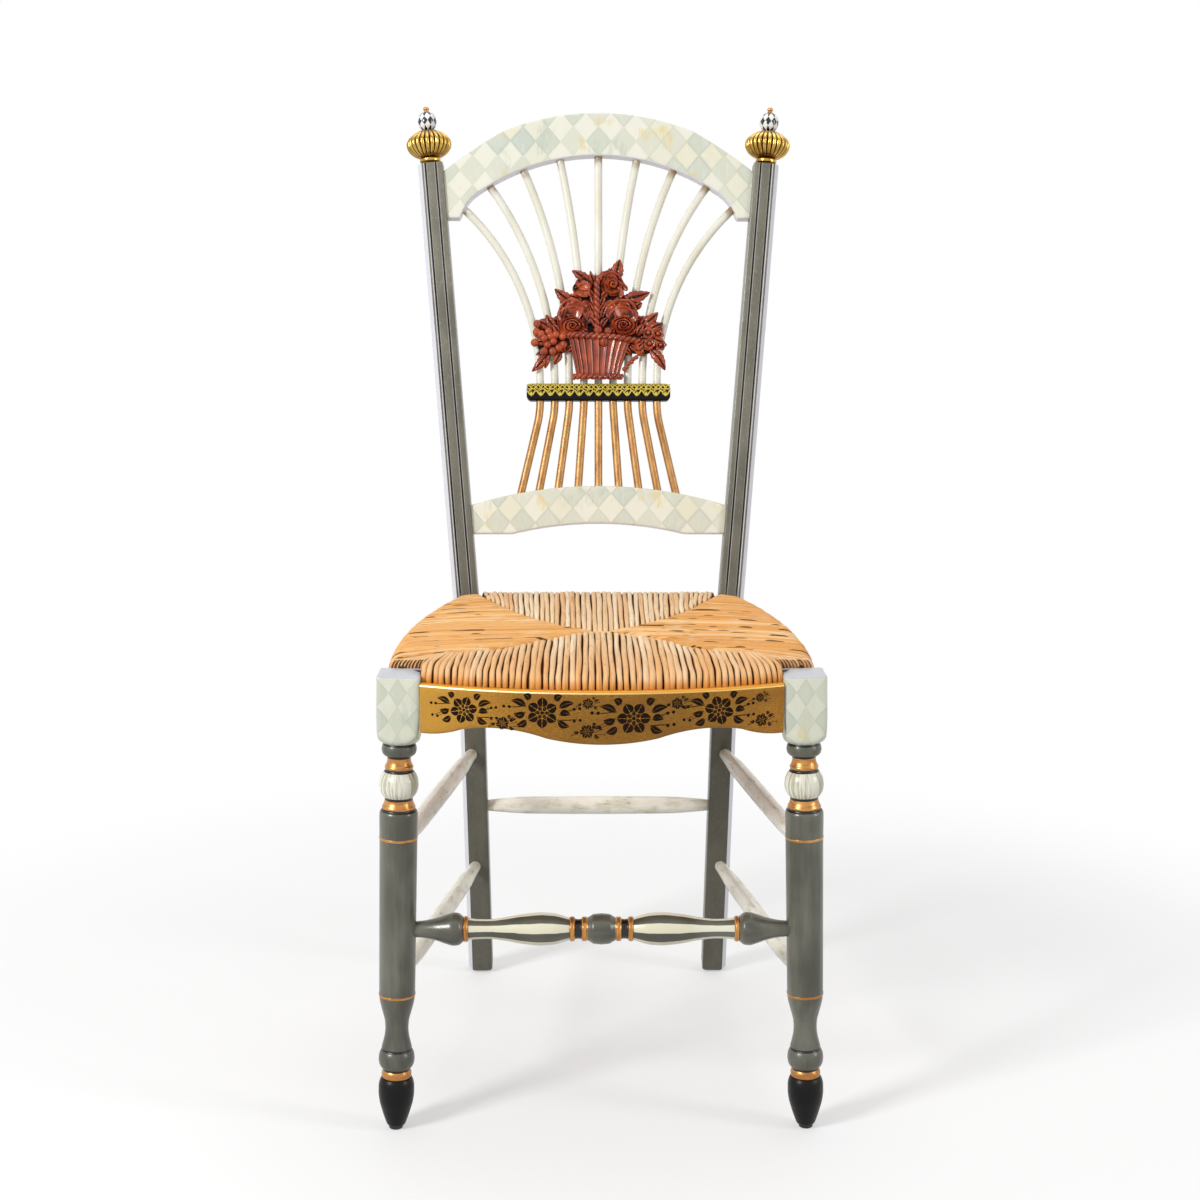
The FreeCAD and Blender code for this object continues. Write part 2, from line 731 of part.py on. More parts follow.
def basket_shape():
    """The flower basket in one casting: foliage plate, ribbed basket, handle and flower heads."""
    half = millimetres("basket_width") / 2
    height = millimetres("basket_height")
    plate_depth = millimetres("basket_leaf_thickness")
    body_depth = millimetres("basket_body_depth")
    outline = [Vector(half * u, 0, height * v) for u, v in FOLIAGE_OUTLINE_SHARES]
    plate = Part.Face(Part.makePolygon(outline + outline[:1])).extrude(Vector(0, -plate_depth, 0))
    rings = [
        ribbed_half_ring(half * width, body_depth * depth, height * rise)
        for rise, width, depth in BASKET_RING_SHARES
    ]
    casting = plate.fuse(ruled_solid(rings))
    rope = millimetres("basket_rope_diameter")
    low, high = [height * share for share in HANDLE_RISE_SHARES]
    stem = Vector(0, -plate_depth, 0)
    handle = prism(stem + UPRIGHT * low, stem + UPRIGHT * high, BACKWARD, rope, SPINDLE_FACETS)
    heads = [handle]
    for across, rise, share, depth in FLOWER_SHARES:
        root = Vector(half * across, 0, height * rise)
        forward = Vector(0, -body_depth * depth, 0)
        head = [
            (root, forward, half * share), (root + forward * FLOWER_BREAK_SHARES[0], forward, half * share),
            (root + forward, forward, half * share * FLOWER_BREAK_SHARES[1]),
        ]
        heads.append(faceted_rod(head, UPRIGHT, SPINDLE_FACETS))
    return casting.fuse(heads).removeSplitter()


# Front legs: turned from square blanks, which stay square as blocks beside the seat

def nicked_square(half, nick):
    return [
        (half, half - nick), (half - nick, half), (nick - half, half), (-half, half - nick),
        (-half, nick - half), (nick - half, -half), (half - nick, -half), (half, nick - half),
    ]


def stretcher_hole(name, start, end, inset):
    """A blind round hole for a stretcher's tenon, bored along the stretcher from its own end."""
    run = (end - start).normalize()
    bottom = start + run * (inset - CLEARANCE)
    mouth = bottom + run * (millimetres("stretcher_tenon_length") + OVERRUN)
    diameter = millimetres("stretcher_tenon_diameter") + 2 * CLEARANCE
    return solid_from_code(name, prism(bottom, mouth, UPRIGHT, diameter))


# The distance of each tenon's end from the axis of the leg that holds it.
LEG_INSET = millimetres("turning_diameter") / 2 - millimetres("stretcher_tenon_length")
POST_DEPTH_INSET = millimetres("post_depth") / 2 - millimetres("stretcher_tenon_length")
POST_WIDTH_INSET = millimetres("post_width") / 2 - millimetres("stretcher_tenon_length")


def side_stretcher_axes(side, level):
    if level == "upper":
        front = rear = millimetres("upper_stretcher_height")
    else:
        front = millimetres("lower_stretcher_front_height")
        rear = millimetres("lower_stretcher_rear_height")
    return front_leg_point(side, front), rear_leg_point(side, rear)


def nail_hole(name, foot, glide_height):
    """A hole up into a foot for its glide's nail."""
    depth = glide_height + millimetres("glide_nail_length") + CLEARANCE
    diameter = millimetres("glide_nail_diameter") + 2 * CLEARANCE
    shape = prism(foot, foot + UPRIGHT * depth, RIGHTWARD, diameter, SMALL_ROUND_FACETS // 2)
    return solid_from_code(name + "_nail_hole", shape)


def front_leg(side_name):
    side = SIDES[side_name]
    name = f"front_leg_{side_name}"
    foot = front_leg_point(side, 0)
    top = front_leg_point(side, millimetres("front_leg_height"))
    base = size("front_leg_height") - size("block_height")
    block = new_body(name + "_block")
    square = nicked_square(size("block_side") / 2, size("post_corner"))
    pad(block, name + "_block", square, size("block_height"), "XY_Plane", False, base)
    block.Placement = along(foot, top)
    glide = millimetres("front_glide_height")
    radius = millimetres("turning_diameter") / 2
    stations = turned_stations(LEG_TURNING_SHARES, base.value - glide, radius, glide)
    stations.insert(0, (Vector(), UPRIGHT, stations[0][2]))
    turning = solid_from_code(
        name + "_turning", faceted_rod(stations, RIGHTWARD, TURNING_FACETS), along(foot, top)
    )
    body = document.addObject("Part::Fuse", name + "_blank")
    body.Base = turning
    body.Tool = block
    below = Placement(foot - UPRIGHT * OVERRUN, Rotation())
    sole = box(
        name + "_sole_cut", size("block_side"), size("block_side"),
        size("cut_overrun") + size("front_glide_height"), below,
    )
    tools = [sole, nail_hole(name, foot, millimetres("front_glide_height"))]
    for level in LEVELS:
        start, end = side_stretcher_axes(side, level)
        tools.append(stretcher_hole(f"{name}_{level}_hole", start, end, LEG_INSET))
    stretcher_height = millimetres("front_stretcher_height")
    tools.append(stretcher_hole(
        f"{name}_front_hole", front_leg_point(side, stretcher_height),
        front_leg_point(-side, stretcher_height), LEG_INSET,
    ))
    sockets = (
        ("front_rail", rail_socket(front_rail_route(), max(side, 0))),
        ("side_rail", rail_socket(side_rail_route(side), 0)),
    )
    for rail, socket in sockets:
        tools.append(solid_from_code(f"{name}_{rail}_socket", socket))
    cut(name, body, tools)


# Rear posts: reeded above the seat, mortised for the two rails and bored for the stretchers

def rail_mortise(name, side, rise):
    """A mortise for a back rail's tenon, in the post's inner face."""
    centre = post_reach(rise) - POST_HALF_FACE
    length = (size("rail_tenon_length") + size("fit_clearance")) * 2
    thickness = size("rail_tenon_thickness") + size("fit_clearance") * 2
    height = size("rail_tenon_height") + size("fit_clearance") * 2
    place = BACK_FRAME.multiply(Placement(Vector(side * centre, 0, rise - height.value / 2), Rotation()))
    return box(name, length, thickness, height, place)


def reed_groove(name, side, offset):
    """A round-bottomed groove down the post's front face, open at the top."""
    radius = millimetres("reed_groove_radius")
    out = millimetres("post_depth") / 2 + radius - millimetres("reed_groove_depth")
    low = millimetres("reed_start_rise")
    high = millimetres("back_rise") + OVERRUN
    start = back_point(side * post_reach(low) + offset, low, out)
    end = back_point(side * post_reach(high) + offset, high, out)
    length = size("back_rise") - size("reed_start_rise") + size("cut_overrun")
    return cylinder(name, size("reed_groove_radius") * 2, length, along(start, end))


CREST_TENON_RISE = millimetres("crest_end_rise") + millimetres("crest_end_height") / 2
BACK_RAIL_TENON_RISE = millimetres("back_rail_rise") + millimetres("back_rail_end_height") / 2


def rear_post(side_name):
    side = SIDES[side_name]
    name = f"rear_post_{side_name}"
    blank = solid_from_code(name + "_blank", post_shape(side))
    foot = rear_leg_point(side, 0) + UPRIGHT * millimetres("rear_glide_height")
    ground = Placement(foot - UPRIGHT * OVERRUN, Rotation())
    wide = size("post_depth") + size("cut_overrun")
    tools = [box(name + "_sole_cut", wide, wide, size("cut_overrun"), ground)]
    tools.append(nail_hole(name, rear_leg_point(side, 0), millimetres("rear_glide_height")))
    for edge, sign in (("inner", -1), ("outer", 1)):
        shift = sign * millimetres("reed_spacing") / 2
        tools.append(reed_groove(f"{name}_{edge}_reed", side, shift))
    tools.append(rail_mortise(name + "_crest_mortise", side, CREST_TENON_RISE))
    tools.append(rail_mortise(name + "_back_rail_mortise", side, BACK_RAIL_TENON_RISE))
    for level in LEVELS:
        front, rear = side_stretcher_axes(side, level)
        tools.append(stretcher_hole(f"{name}_{level}_hole", rear, front, POST_DEPTH_INSET))
    height = millimetres("rear_stretcher_height")
    tools.append(stretcher_hole(
        name + "_rear_hole", rear_leg_point(side, height), rear_leg_point(-side, height),
        POST_WIDTH_INSET,
    ))
    sockets = (
        ("side_rail", rail_socket(side_rail_route(side), 1)),
        ("rear_rail", rail_socket(rear_rail_route(), max(side, 0))),
    )
    for rail, socket in sockets:
        tools.append(solid_from_code(f"{name}_{rail}_socket", socket))
    rod_depth = millimetres("finial_rod_depth") + CLEARANCE
    rod_hole = prism(
        Vector(), UPRIGHT * (rod_depth + OVERRUN), RIGHTWARD,
        millimetres("finial_rod_diameter") + 2 * CLEARANCE,
    )
    rod_place = finial_place(side, millimetres("back_rise") - rod_depth)
    tools.append(solid_from_code(name + "_rod_hole", rod_hole, rod_place))
    cut(name, blank, tools)


def finial_place(side, rise):
    """A placement on a post's axis, turned along it."""
    start = back_point(side * post_reach(rise), rise)
    end = back_point(side * post_reach(rise + OVERRUN), rise + OVERRUN)
    return along(start, end)


# Crest rail and back rail: sawn boards in the raked plane of the back, with tenons into the posts

def post_inner_face(rise):
    """The distance from the middle to a post's inner face, at a rise up the back."""
    bend = size("rear_post_bend_spacing") / 2
    slope = (size("rear_post_top_spacing") / 2 - bend) / size("back_rise")
    lean = Size(math.sqrt(1 + slope.value ** 2), f"((1 + {slope.text} ^ 2) ^ 0.5)")
    return bend + slope * rise - size("post_width") / 2 * lean - size("fit_clearance")


def rail_tenon(body, name, rise):
    """A tenon at each end of a rail, rooted as deep in the rail as it stands out of it."""
    face = post_inner_face(rise)
    length = size("rail_tenon_length")
    low = rise - size("rail_tenon_height") / 2
    high = rise + size("rail_tenon_height") / 2
    for side_name, side in SIDES.items():
        root, tip = (face - length) * side, (face + length) * side
        corners = [(root, low), (tip, low), (tip, high), (root, high)]
        pad(body, f"{name}_tenon_{side_name}", corners, size("rail_tenon_thickness"))


def crest_hollow_points():
    """The underside's flat, knee and hollow points on the right, in the plane of the back."""
    flat_rise = size("crest_end_rise")
    reach = post_inner_face(flat_rise)
    drop = size("crest_underside_rise") - flat_rise
    corner = (reach * CREST_HOLLOW_FLAT_SHARE, flat_rise)
    knee = (reach * CREST_HOLLOW_KNEE_SHARES[0], flat_rise + drop * CREST_HOLLOW_KNEE_SHARES[1])
    spring = (reach * CREST_HOLLOW_SHARES[0], flat_rise + drop * CREST_HOLLOW_SHARES[1])
    return corner, knee, spring


def back_rail_points():
    base = size("back_rail_rise")
    top = base + size("back_rail_end_height")
    return base, top, top + size("back_rail_crown")


def height_on_arc(reach, side_point, crown):
    """Where a symmetric arc over the middle, through a side point, stands at a reach."""
    right = Vector(*side_point, 0)
    left = Vector(-right.x, right.y, 0)
    centre, radius = circle_through(left, Vector(0, crown, 0), right)
    return centre.y + math.sqrt(radius ** 2 - reach ** 2)


def spindle_stations(index):
    """A spindle's path in the plane of the back, as points and directions from foot to top."""
    share = abs(index)
    waist = share * millimetres("spindle_waist_pitch")
    foot_reach = millimetres("spindle_foot_reach") * SPINDLE_FOOT_SHARES[share]
    top_reach = post_inner_face(size("crest_end_rise")).value * SPINDLE_TOP_SHARES[share]
    base, shoulder, crown = back_rail_points()
    foot_rise = height_on_arc(foot_reach, (post_inner_face(shoulder).value, shoulder.value), crown.value)
    corner, knee, spring = crest_hollow_points()
    if top_reach < spring[0].value:
        top_rise = height_on_arc(
            top_reach, (spring[0].value, spring[1].value), millimetres("crest_underside_rise")
        )
    else:
        centre, radius = circle_through(flat(corner), flat(knee), flat(spring))
        aside = math.sqrt(radius ** 2 - (top_reach - centre.x) ** 2)
        top_rise = centre.y + aside if knee[1].value > centre.y else centre.y - aside
    low = millimetres("waist_bar_rise")
    high = low + millimetres("waist_bar_height")
    tenon = millimetres("spindle_tenon_length")
    if index == 0:
        return [(Vector(0, 0, foot_rise - tenon), UPRIGHT), (Vector(0, 0, top_rise + tenon), UPRIGHT)]

    sign = 1 if index > 0 else -1

    def spot(x, z):
        return Vector(sign * x, 0, z)

    # the lower bend leaves the waist upright and ends where the straight foot run touches it
    bend = millimetres("spindle_lower_bend_radius")
    to_foot = Vector(foot_reach - waist - bend, foot_rise - low, 0)
    touch = math.atan2(to_foot.y, to_foot.x) - math.acos(bend / to_foot.Length)
    lower_turn = abs(math.pi - touch % (2 * math.pi))
    # the upper bend is one arc from the upright waist to the crest rail
    out = top_reach - waist
    up = top_rise - high
    sweep = (out ** 2 + up ** 2) / (2 * out)
    upper_turn = math.asin(up / sweep)
    lower_steps, upper_steps = SPINDLE_BEND_STEPS
    stations = []
    for step in range(lower_steps, -1, -1):
        turned = lower_turn * step / lower_steps
        point = spot(waist + bend - bend * math.cos(turned), low - bend * math.sin(turned))
        stations.append((point, Vector(-sign * math.sin(turned), 0, math.cos(turned))))
    for step in range(upper_steps + 1):
        turned = upper_turn * step / upper_steps
        point = spot(waist + sweep - sweep * math.cos(turned), high + sweep * math.sin(turned))
        stations.append((point, Vector(sign * math.sin(turned), 0, math.cos(turned))))
    foot = spot(foot_reach, foot_rise)
    first, last = stations[0], stations[-1]
    return [(foot - first[1] * tenon, first[1])] + stations + [(last[0] + last[1] * tenon, last[1])]


SPINDLE_INDICES = range(-(SPINDLE_COUNT // 2), SPINDLE_COUNT // 2 + 1)


def spindle_number(index):
    return index + SPINDLE_COUNT // 2 + 1


def spindle_bore(start, end):
    """A hole around a spindle, in the plane of the back."""
    radius = millimetres("spindle_diameter") / 2 + CLEARANCE
    run = end - start
    return faceted_rod([(start, run, radius), (end, run, radius)], BACKWARD, SPINDLE_FACETS)


def spindle_sockets(name, at_top):
    """Blind holes for the spindles' tenons."""
    reach = millimetres("spindle_tenon_length") + OVERRUN
    holes = []
    for index in SPINDLE_INDICES:
        point, ahead = spindle_stations(index)[-1 if at_top else 0]
        outward = ahead if at_top else ahead * -1
        bottom = point + outward * CLEARANCE
        mouth = point - outward * reach
        shape = spindle_bore(mouth, bottom) if at_top else spindle_bore(bottom, mouth)
        holes.append(solid_from_code(f"{name}_hole_{spindle_number(index)}", shape, BACK_FRAME))
    return holes


def crest_rail():
    name = "crest_rail"
    body = new_body(name)
    base = size("crest_end_rise")
    shoulder = base + size("crest_end_height")
    arch = size("crest_top_rise") - shoulder
    reach = post_inner_face(shoulder)
    corner, knee, spring = crest_hollow_points()
    crown = (ZERO, size("crest_top_rise"))
    knuckle = (reach * CREST_ARCH_SHARES[0], shoulder + arch * CREST_ARCH_SHARES[1])
    slope = (reach * CREST_SHOULDER_SHARES[0], shoulder + arch * CREST_SHOULDER_SHARES[1])

    def left(point):
        return (-point[0], point[1])

    end_low = (post_inner_face(base), base)
    end_high = (reach, shoulder)
    hollow = (ZERO, size("crest_underside_rise"))
    outline = [
        end_low, end_high, (slope, knuckle), (crown, left(knuckle)), (left(slope), left(end_high)),
        left(end_low), left(corner), (left(knee), left(spring)), (hollow, spring), (knee, corner),
    ]
    pad(body, name + "_board", outline, size("crest_thickness"))
    rail_tenon(body, name, base + size("crest_end_height") / 2)
    body.Placement = BACK_FRAME
    cut(name, body, spindle_sockets(name, True))


def back_rail():
    name = "back_rail"
    body = new_body(name)
    base, shoulder, crown = back_rail_points()
    low_reach = post_inner_face(base)
    high_reach = post_inner_face(shoulder)
    flat_end = (low_reach * BACK_RAIL_FLAT_SHARE, base)
    outline = [
        (low_reach, base), (high_reach, shoulder), ((ZERO, crown), (-high_reach, shoulder)),
        (-low_reach, base), (-flat_end[0], base), ((ZERO, base + size("back_rail_hollow")), flat_end),
    ]
    pad(body, name + "_board", outline, size("back_rail_thickness"))
    rail_tenon(body, name, base + size("back_rail_end_height") / 2)
    body.Placement = BACK_FRAME
    cut(name, body, spindle_sockets(name, False))


def spindle(index):
    radius = millimetres("spindle_diameter") / 2
    stations = [(point, ahead, radius) for point, ahead in spindle_stations(index)]
    name = f"spindle_{spindle_number(index)}"
    keep(solid_from_code(name, faceted_rod(stations, BACKWARD, SPINDLE_FACETS), BACK_FRAME), name)


def waist_bar():
    """The bar that gathers the spindles, bored upright for each of them."""
    name = "waist_bar"
    low = millimetres("waist_bar_rise")
    place = BACK_FRAME.multiply(Placement(UPRIGHT * low, Rotation()))
    bar = box(
        name + "_blank", size("waist_bar_length"), size("waist_bar_thickness"),
        size("waist_bar_height"), place,
    )
    bores = []
    high = low + millimetres("waist_bar_height")
    for index in SPINDLE_INDICES:
        reach = index * millimetres("spindle_waist_pitch")
        shape = spindle_bore(Vector(reach, 0, low - OVERRUN), Vector(reach, 0, high + OVERRUN))
        bores.append(solid_from_code(f"{name}_bore_{spindle_number(index)}", shape, BACK_FRAME))
    cut(name, bar, bores)


def waist_braid():
    """A strip of braid on the bar's face, level with its top."""
    name = "waist_braid"
    top = millimetres("waist_bar_rise") + millimetres("waist_bar_height")
    out = millimetres("waist_bar_thickness") / 2 + millimetres("waist_braid_thickness") / 2 + CLEARANCE
    place = Placement(Vector(0, -out, top - millimetres("waist_braid_height")), Rotation())
    strip = box(
        name, size("waist_bar_length"), size("waist_braid_thickness"), size("waist_braid_height"),
        BACK_FRAME.multiply(place),
    )
    keep(strip, name)


def basket_ornament():
    """The ornament lies against the spindles and stands just above the waist bar."""
    out = millimetres("spindle_diameter") / 2 + CLEARANCE
    place = BACK_FRAME.multiply(Placement(Vector(0, -out, millimetres("basket_rise")), Rotation()))
    keep(solid_from_code("basket_ornament", basket_shape(), place), "basket_ornament")


# Finials: collar, fluted melon, ball and cap threaded on a rod in each post's top

COLLAR_BASE = millimetres("back_rise") + CLEARANCE
MELON_BASE = COLLAR_BASE + millimetres("collar_height") + CLEARANCE
BALL_BASE = MELON_BASE + millimetres("melon_height") + CLEARANCE
CAP_BASE = BALL_BASE + millimetres("ball_diameter") + CLEARANCE


def finial_pair(name, base, shape, bore_length):
    """A pair of equal pieces, one on each post, bored for the rod."""
    pieces = []
    bore = prism(
        UPRIGHT * -CLEARANCE, UPRIGHT * (bore_length + CLEARANCE), RIGHTWARD,
        millimetres("finial_rod_diameter") + 2 * CLEARANCE,
    )
    for side_name, side in SIDES.items():
        blank = solid_from_code(f"{name}_{side_name}_blank", shape, finial_place(side, base))
        hole = solid_from_code(f"{name}_{side_name}_bore", bore, finial_place(side, base))
        piece = document.addObject("Part::Cut", f"{name}_{side_name}")
        piece.Base = blank
        piece.Tool = hole
        pieces.append(piece)
    pair = document.addObject("Part::Compound", name)
    pair.Links = pieces
    keep(pair, name)


def finials():
    collar, melon = millimetres("collar_height"), millimetres("melon_height")
    ball, cap = millimetres("ball_diameter"), millimetres("cap_diameter")
    collar_shape = faceted_turning(COLLAR_SHARES, collar, millimetres("collar_diameter") / 2)
    finial_pair("finial_collars", COLLAR_BASE, collar_shape, collar)
    finial_pair("finial_melons", MELON_BASE, melon_shape(), melon)
    finial_pair("finial_balls", BALL_BASE, faceted_turning(BALL_SHARES, ball, ball / 2), ball)
    finial_pair("finial_caps", CAP_BASE, faceted_turning(CAP_SHARES, cap, cap / 2), cap / 2)
    rods = []
    rod_base = millimetres("back_rise") - millimetres("finial_rod_depth")
    rod_length = CAP_BASE + cap / 2 - rod_base
    rod = prism(Vector(), UPRIGHT * rod_length, RIGHTWARD, millimetres("finial_rod_diameter"))
    for side_name, side in SIDES.items():
        rods.append(solid_from_code(f"finial_rod_{side_name}", rod, finial_place(side, rod_base)))
    pair = document.addObject("Part::Compound", "finial_rods")
    pair.Links = rods
    keep(pair, "finial_rods")


# Seat: four rails between the legs and posts, the rush wound over them, and the bowed apron

def seat_rails():
    keep(solid_from_code("front_seat_rail", tenoned_rail(front_rail_route())), "front_seat_rail")
    keep(solid_from_code("rear_seat_rail", tenoned_rail(rear_rail_route())), "rear_seat_rail")
    for side_name, side in SIDES.items():
        name = f"side_seat_rail_{side_name}"
        keep(solid_from_code(name, tenoned_rail(side_rail_route(side))), name)


def rush_seat():
    gap = millimetres("rush_clearance")
    tools = []
    routes = {"front": front_rail_route(), "rear": rear_rail_route()}
    for side_name, side in SIDES.items():
        routes[side_name] = side_rail_route(side)
        tools.append(solid_from_code(f"rush_post_{side_name}_notch", post_shape(side, gap)))
        foot = front_leg_point(side, 0)
        top = front_leg_point(side, millimetres("front_leg_height"))
        notch = box(
            f"rush_block_{side_name}_notch", size("block_side") + size("rush_clearance") * 2,
            size("block_side") + size("rush_clearance") * 2,
            size("front_leg_height") + size("cut_overrun"), along(foot, top),
        )
        tools.append(notch)
    for rail, route in routes.items():
        tools.append(solid_from_code(f"rush_{rail}_rail_tunnel", tenoned_rail(route, gap)))
    cut("rush_seat", solid_from_code("rush_seat_blank", rush_shape()), tools)


def apron():
    """A thin board bowed with the seat's front edge, its lower edge sawn to a serpentine."""
    name = "apron"
    top = SEAT_FRONT_HEIGHT
    ends = size("apron_end_height")
    low = top - ends
    spacing_drop = (size("front_leg_foot_spacing") - size("front_leg_top_spacing")) / 2

    def block_face(height):
        spread = spacing_drop * (height / size("front_leg_height"))
        axis = size("front_leg_foot_spacing") / 2 - spread
        return axis - size("block_side") / 2 - size("rush_clearance")

    end_high = (block_face(top), top)
    end_low = (block_face(low), low)

    def edge(shares):
        return (end_low[0] * shares[0], top - ends * shares[1])

    def left(point):
        return (-point[0], point[1])

    outer, inner = APRON_EDGE_SHARES
    outer_mid, outer_end = edge(outer[:2]), edge(outer[2:])
    inner_mid, inner_end = edge(inner[:2]), edge(inner[2:])
    centre = (ZERO, top - ends * APRON_CENTRE_SHARE)
    face = [
        end_high, left(end_high), left(end_low), (left(outer_mid), left(outer_end)),
        (left(inner_mid), left(inner_end)), (centre, inner_end),
        (inner_mid, outer_end), (outer_mid, end_low),
    ]
    front_end = size("block_side") / 2 - size("seat_front_end_setback") + size("rush_clearance")
    back_end = -front_end
    back_nose = back_end - size("seat_front_bow")
    reach = end_low[0] + size("rush_clearance")
    thickness = size("apron_thickness")
    plan = [
        (reach, back_end), ((ZERO, back_nose), (-reach, back_end)), (-reach, back_end - thickness),
        ((ZERO, back_nose - thickness), (reach, back_end - thickness)),
    ]
    board = new_body(name + "_face")
    pad(board, name + "_face", face, size("front_leg_foot_spacing"))
    bow = new_body(name + "_plan")
    pad(bow, name + "_plan", plan, size("front_leg_height"), "XY_Plane", False)
    place = Placement(chair_point(0, 0, 0), Rotation())
    board.Placement = place
    bow.Placement = place
    common = document.addObject("Part::Common", name)
    common.Base = board
    common.Tool = bow
    keep(common, name)


# Stretchers: turned members between the legs, tenoned at both ends

def mirrored_shares(half, middle):
    """Mirror half a stretcher's outline about its middle, whose own radius share is given."""
    near = [(along_share / 2, share) for along_share, share in half]
    far = [(1 - along_share, share) for along_share, share in reversed(near)]
    return near + [(0.5, middle)] + far


def stretcher(name, axis, insets, diameter, shares, facets=ROD_FACETS):
    """A turned member between two leg axes; each inset is how far off the axis its end stops."""
    start, end = axis
    run = (end - start).normalize()
    foot = start + run * insets[0]
    span = (end - run * insets[1] - foot).Length
    shape = faceted_turning(shares, span, diameter / 2, facets)
    keep(solid_from_code(name, shape, along(foot, end)), name)


def stretchers():
    plain = mirrored_shares(SIDE_STRETCHER_HALF_SHARES, SIDE_STRETCHER_MIDDLE_SHARE)
    turned = mirrored_shares(FRONT_STRETCHER_HALF_SHARES, FRONT_STRETCHER_MIDDLE_SHARE)
    diameter = millimetres("side_stretcher_diameter")
    for side_name, side in SIDES.items():
        for level in LEVELS:
            name = f"side_stretcher_{level}_{side_name}"
            insets = (LEG_INSET, POST_DEPTH_INSET)
            stretcher(name, side_stretcher_axes(side, level), insets, diameter, plain)
    height = millimetres("front_stretcher_height")
    axis = front_leg_point(-1, height), front_leg_point(1, height)
    diameter = millimetres("front_stretcher_diameter")
    stretcher("front_stretcher", axis, (LEG_INSET, LEG_INSET), diameter, turned, TURNING_FACETS)
    height = millimetres("rear_stretcher_height")
    axis = rear_leg_point(-1, height), rear_leg_point(1, height)
    diameter = millimetres("rear_stretcher_diameter")
    stretcher("rear_stretcher", axis, (POST_WIDTH_INSET, POST_WIDTH_INSET), diameter, plain)


# Glides: a disc under each foot with a nail up into it

def glides(name, height, diameter, points):
    nail = millimetres("glide_nail_diameter")
    disc = faceted_turning(GLIDE_SHARES, height, diameter / 2)
    shank = prism(
        UPRIGHT * (height / 2), UPRIGHT * (height + millimetres("glide_nail_length")),
        RIGHTWARD, nail, SMALL_ROUND_FACETS // 2,
    )
    shape = disc.fuse(shank)
    pieces = [
        solid_from_code(f"{name}_{number_of}", shape, Placement(point, Rotation()))
        for number_of, point in enumerate(points, start=1)
    ]
    group = document.addObject("Part::Compound", name)
    group.Links = pieces
    keep(group, name)


for side_label in SIDES:
    front_leg(side_label)
for side_label in SIDES:
    rear_post(side_label)
crest_rail()
back_rail()
for spindle_index in SPINDLE_INDICES:
    spindle(spindle_index)
waist_bar()
waist_braid()
basket_ornament()
finials()
seat_rails()
rush_seat()
apron()
stretchers()
glides(
    "front_glides", millimetres("front_glide_height"), millimetres("front_glide_diameter"),
    [front_leg_point(side, 0) for side in SIDES.values()],
)
glides(
    "rear_glides", millimetres("rear_glide_height"), millimetres("rear_glide_diameter"),
    [rear_leg_point(side, 0) for side in SIDES.values()],
)

document.recompute()

for item in document.Objects:
    if "Invalid" in item.State or "Error" in item.State:
        raise RuntimeError(f"{item.Name} did not build: {item.State}")
for piece in SUBPARTS:
    if piece.Shape.isNull() or not piece.Shape.isValid() or not piece.Shape.Solids:
        raise RuntimeError(f"{piece.Label} has no valid solid")

os.makedirs("parts", exist_ok=True)
for piece in SUBPARTS:
    piece.Shape.exportStep(f"parts/{piece.Label}.step")
    solids = len(piece.Shape.Solids)
    print(f"{piece.Label}: {solids} solid(s), {piece.Shape.Volume / 1000:.1f} cm3")
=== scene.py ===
import math

import bmesh
import bpy
import numpy as np
from mathutils import Matrix, Quaternion, Vector


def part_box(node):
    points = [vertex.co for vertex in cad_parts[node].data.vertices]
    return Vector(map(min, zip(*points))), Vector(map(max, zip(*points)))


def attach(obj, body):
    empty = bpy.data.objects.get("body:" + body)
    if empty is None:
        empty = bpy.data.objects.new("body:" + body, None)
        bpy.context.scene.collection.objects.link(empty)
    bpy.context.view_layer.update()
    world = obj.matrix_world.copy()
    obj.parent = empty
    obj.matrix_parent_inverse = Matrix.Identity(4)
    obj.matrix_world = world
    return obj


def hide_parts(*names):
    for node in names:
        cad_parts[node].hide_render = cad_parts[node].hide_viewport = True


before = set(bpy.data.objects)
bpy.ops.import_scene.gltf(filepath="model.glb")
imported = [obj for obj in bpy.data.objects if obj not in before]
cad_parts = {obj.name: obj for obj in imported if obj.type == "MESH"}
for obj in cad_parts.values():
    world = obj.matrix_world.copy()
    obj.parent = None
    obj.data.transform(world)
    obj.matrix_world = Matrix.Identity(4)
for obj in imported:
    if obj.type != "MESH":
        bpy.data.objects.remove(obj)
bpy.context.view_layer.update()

# Looks of a painted side chair with a fan of bent spindles and a rush seat.
# Metres, +Z up, the front towards -Y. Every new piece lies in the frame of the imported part.
# Tables of points are in millimetres.

TAU = 2 * math.pi
MM = 0.001
WELD = 2e-6  # points nearer than this are one, in metres

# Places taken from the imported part

leg_low, leg_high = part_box("front_leg_left")
AXIS_Y = (leg_low.y + leg_high.y) / 2
FRONT_FOOT_X, FRONT_TOP_X = 0.215, 0.203
REAR_FOOT_X, REAR_BEND_X, REAR_TOP_X = 0.1485, 0.152, 0.2005
REAR_FOOT_BACK, REAR_BEND_BACK, REAR_BEND_Z = 0.455, 0.358, 0.430
BACK_RISE = 0.586
RAKE = math.asin(0.1165 / BACK_RISE)
POST_BEND_RADIUS = 0.300
BLOCK_HALF = 0.02175
LEG_TOP = 0.487
SIDES = {"left": -1, "right": 1}


def chair_space(x, back, z):
    """Points given from the line between the front leg axes; arrays broadcast together."""
    x, back, z = np.broadcast_arrays(x, back, z)
    return np.stack([x, AXIS_Y + back, z], -1)


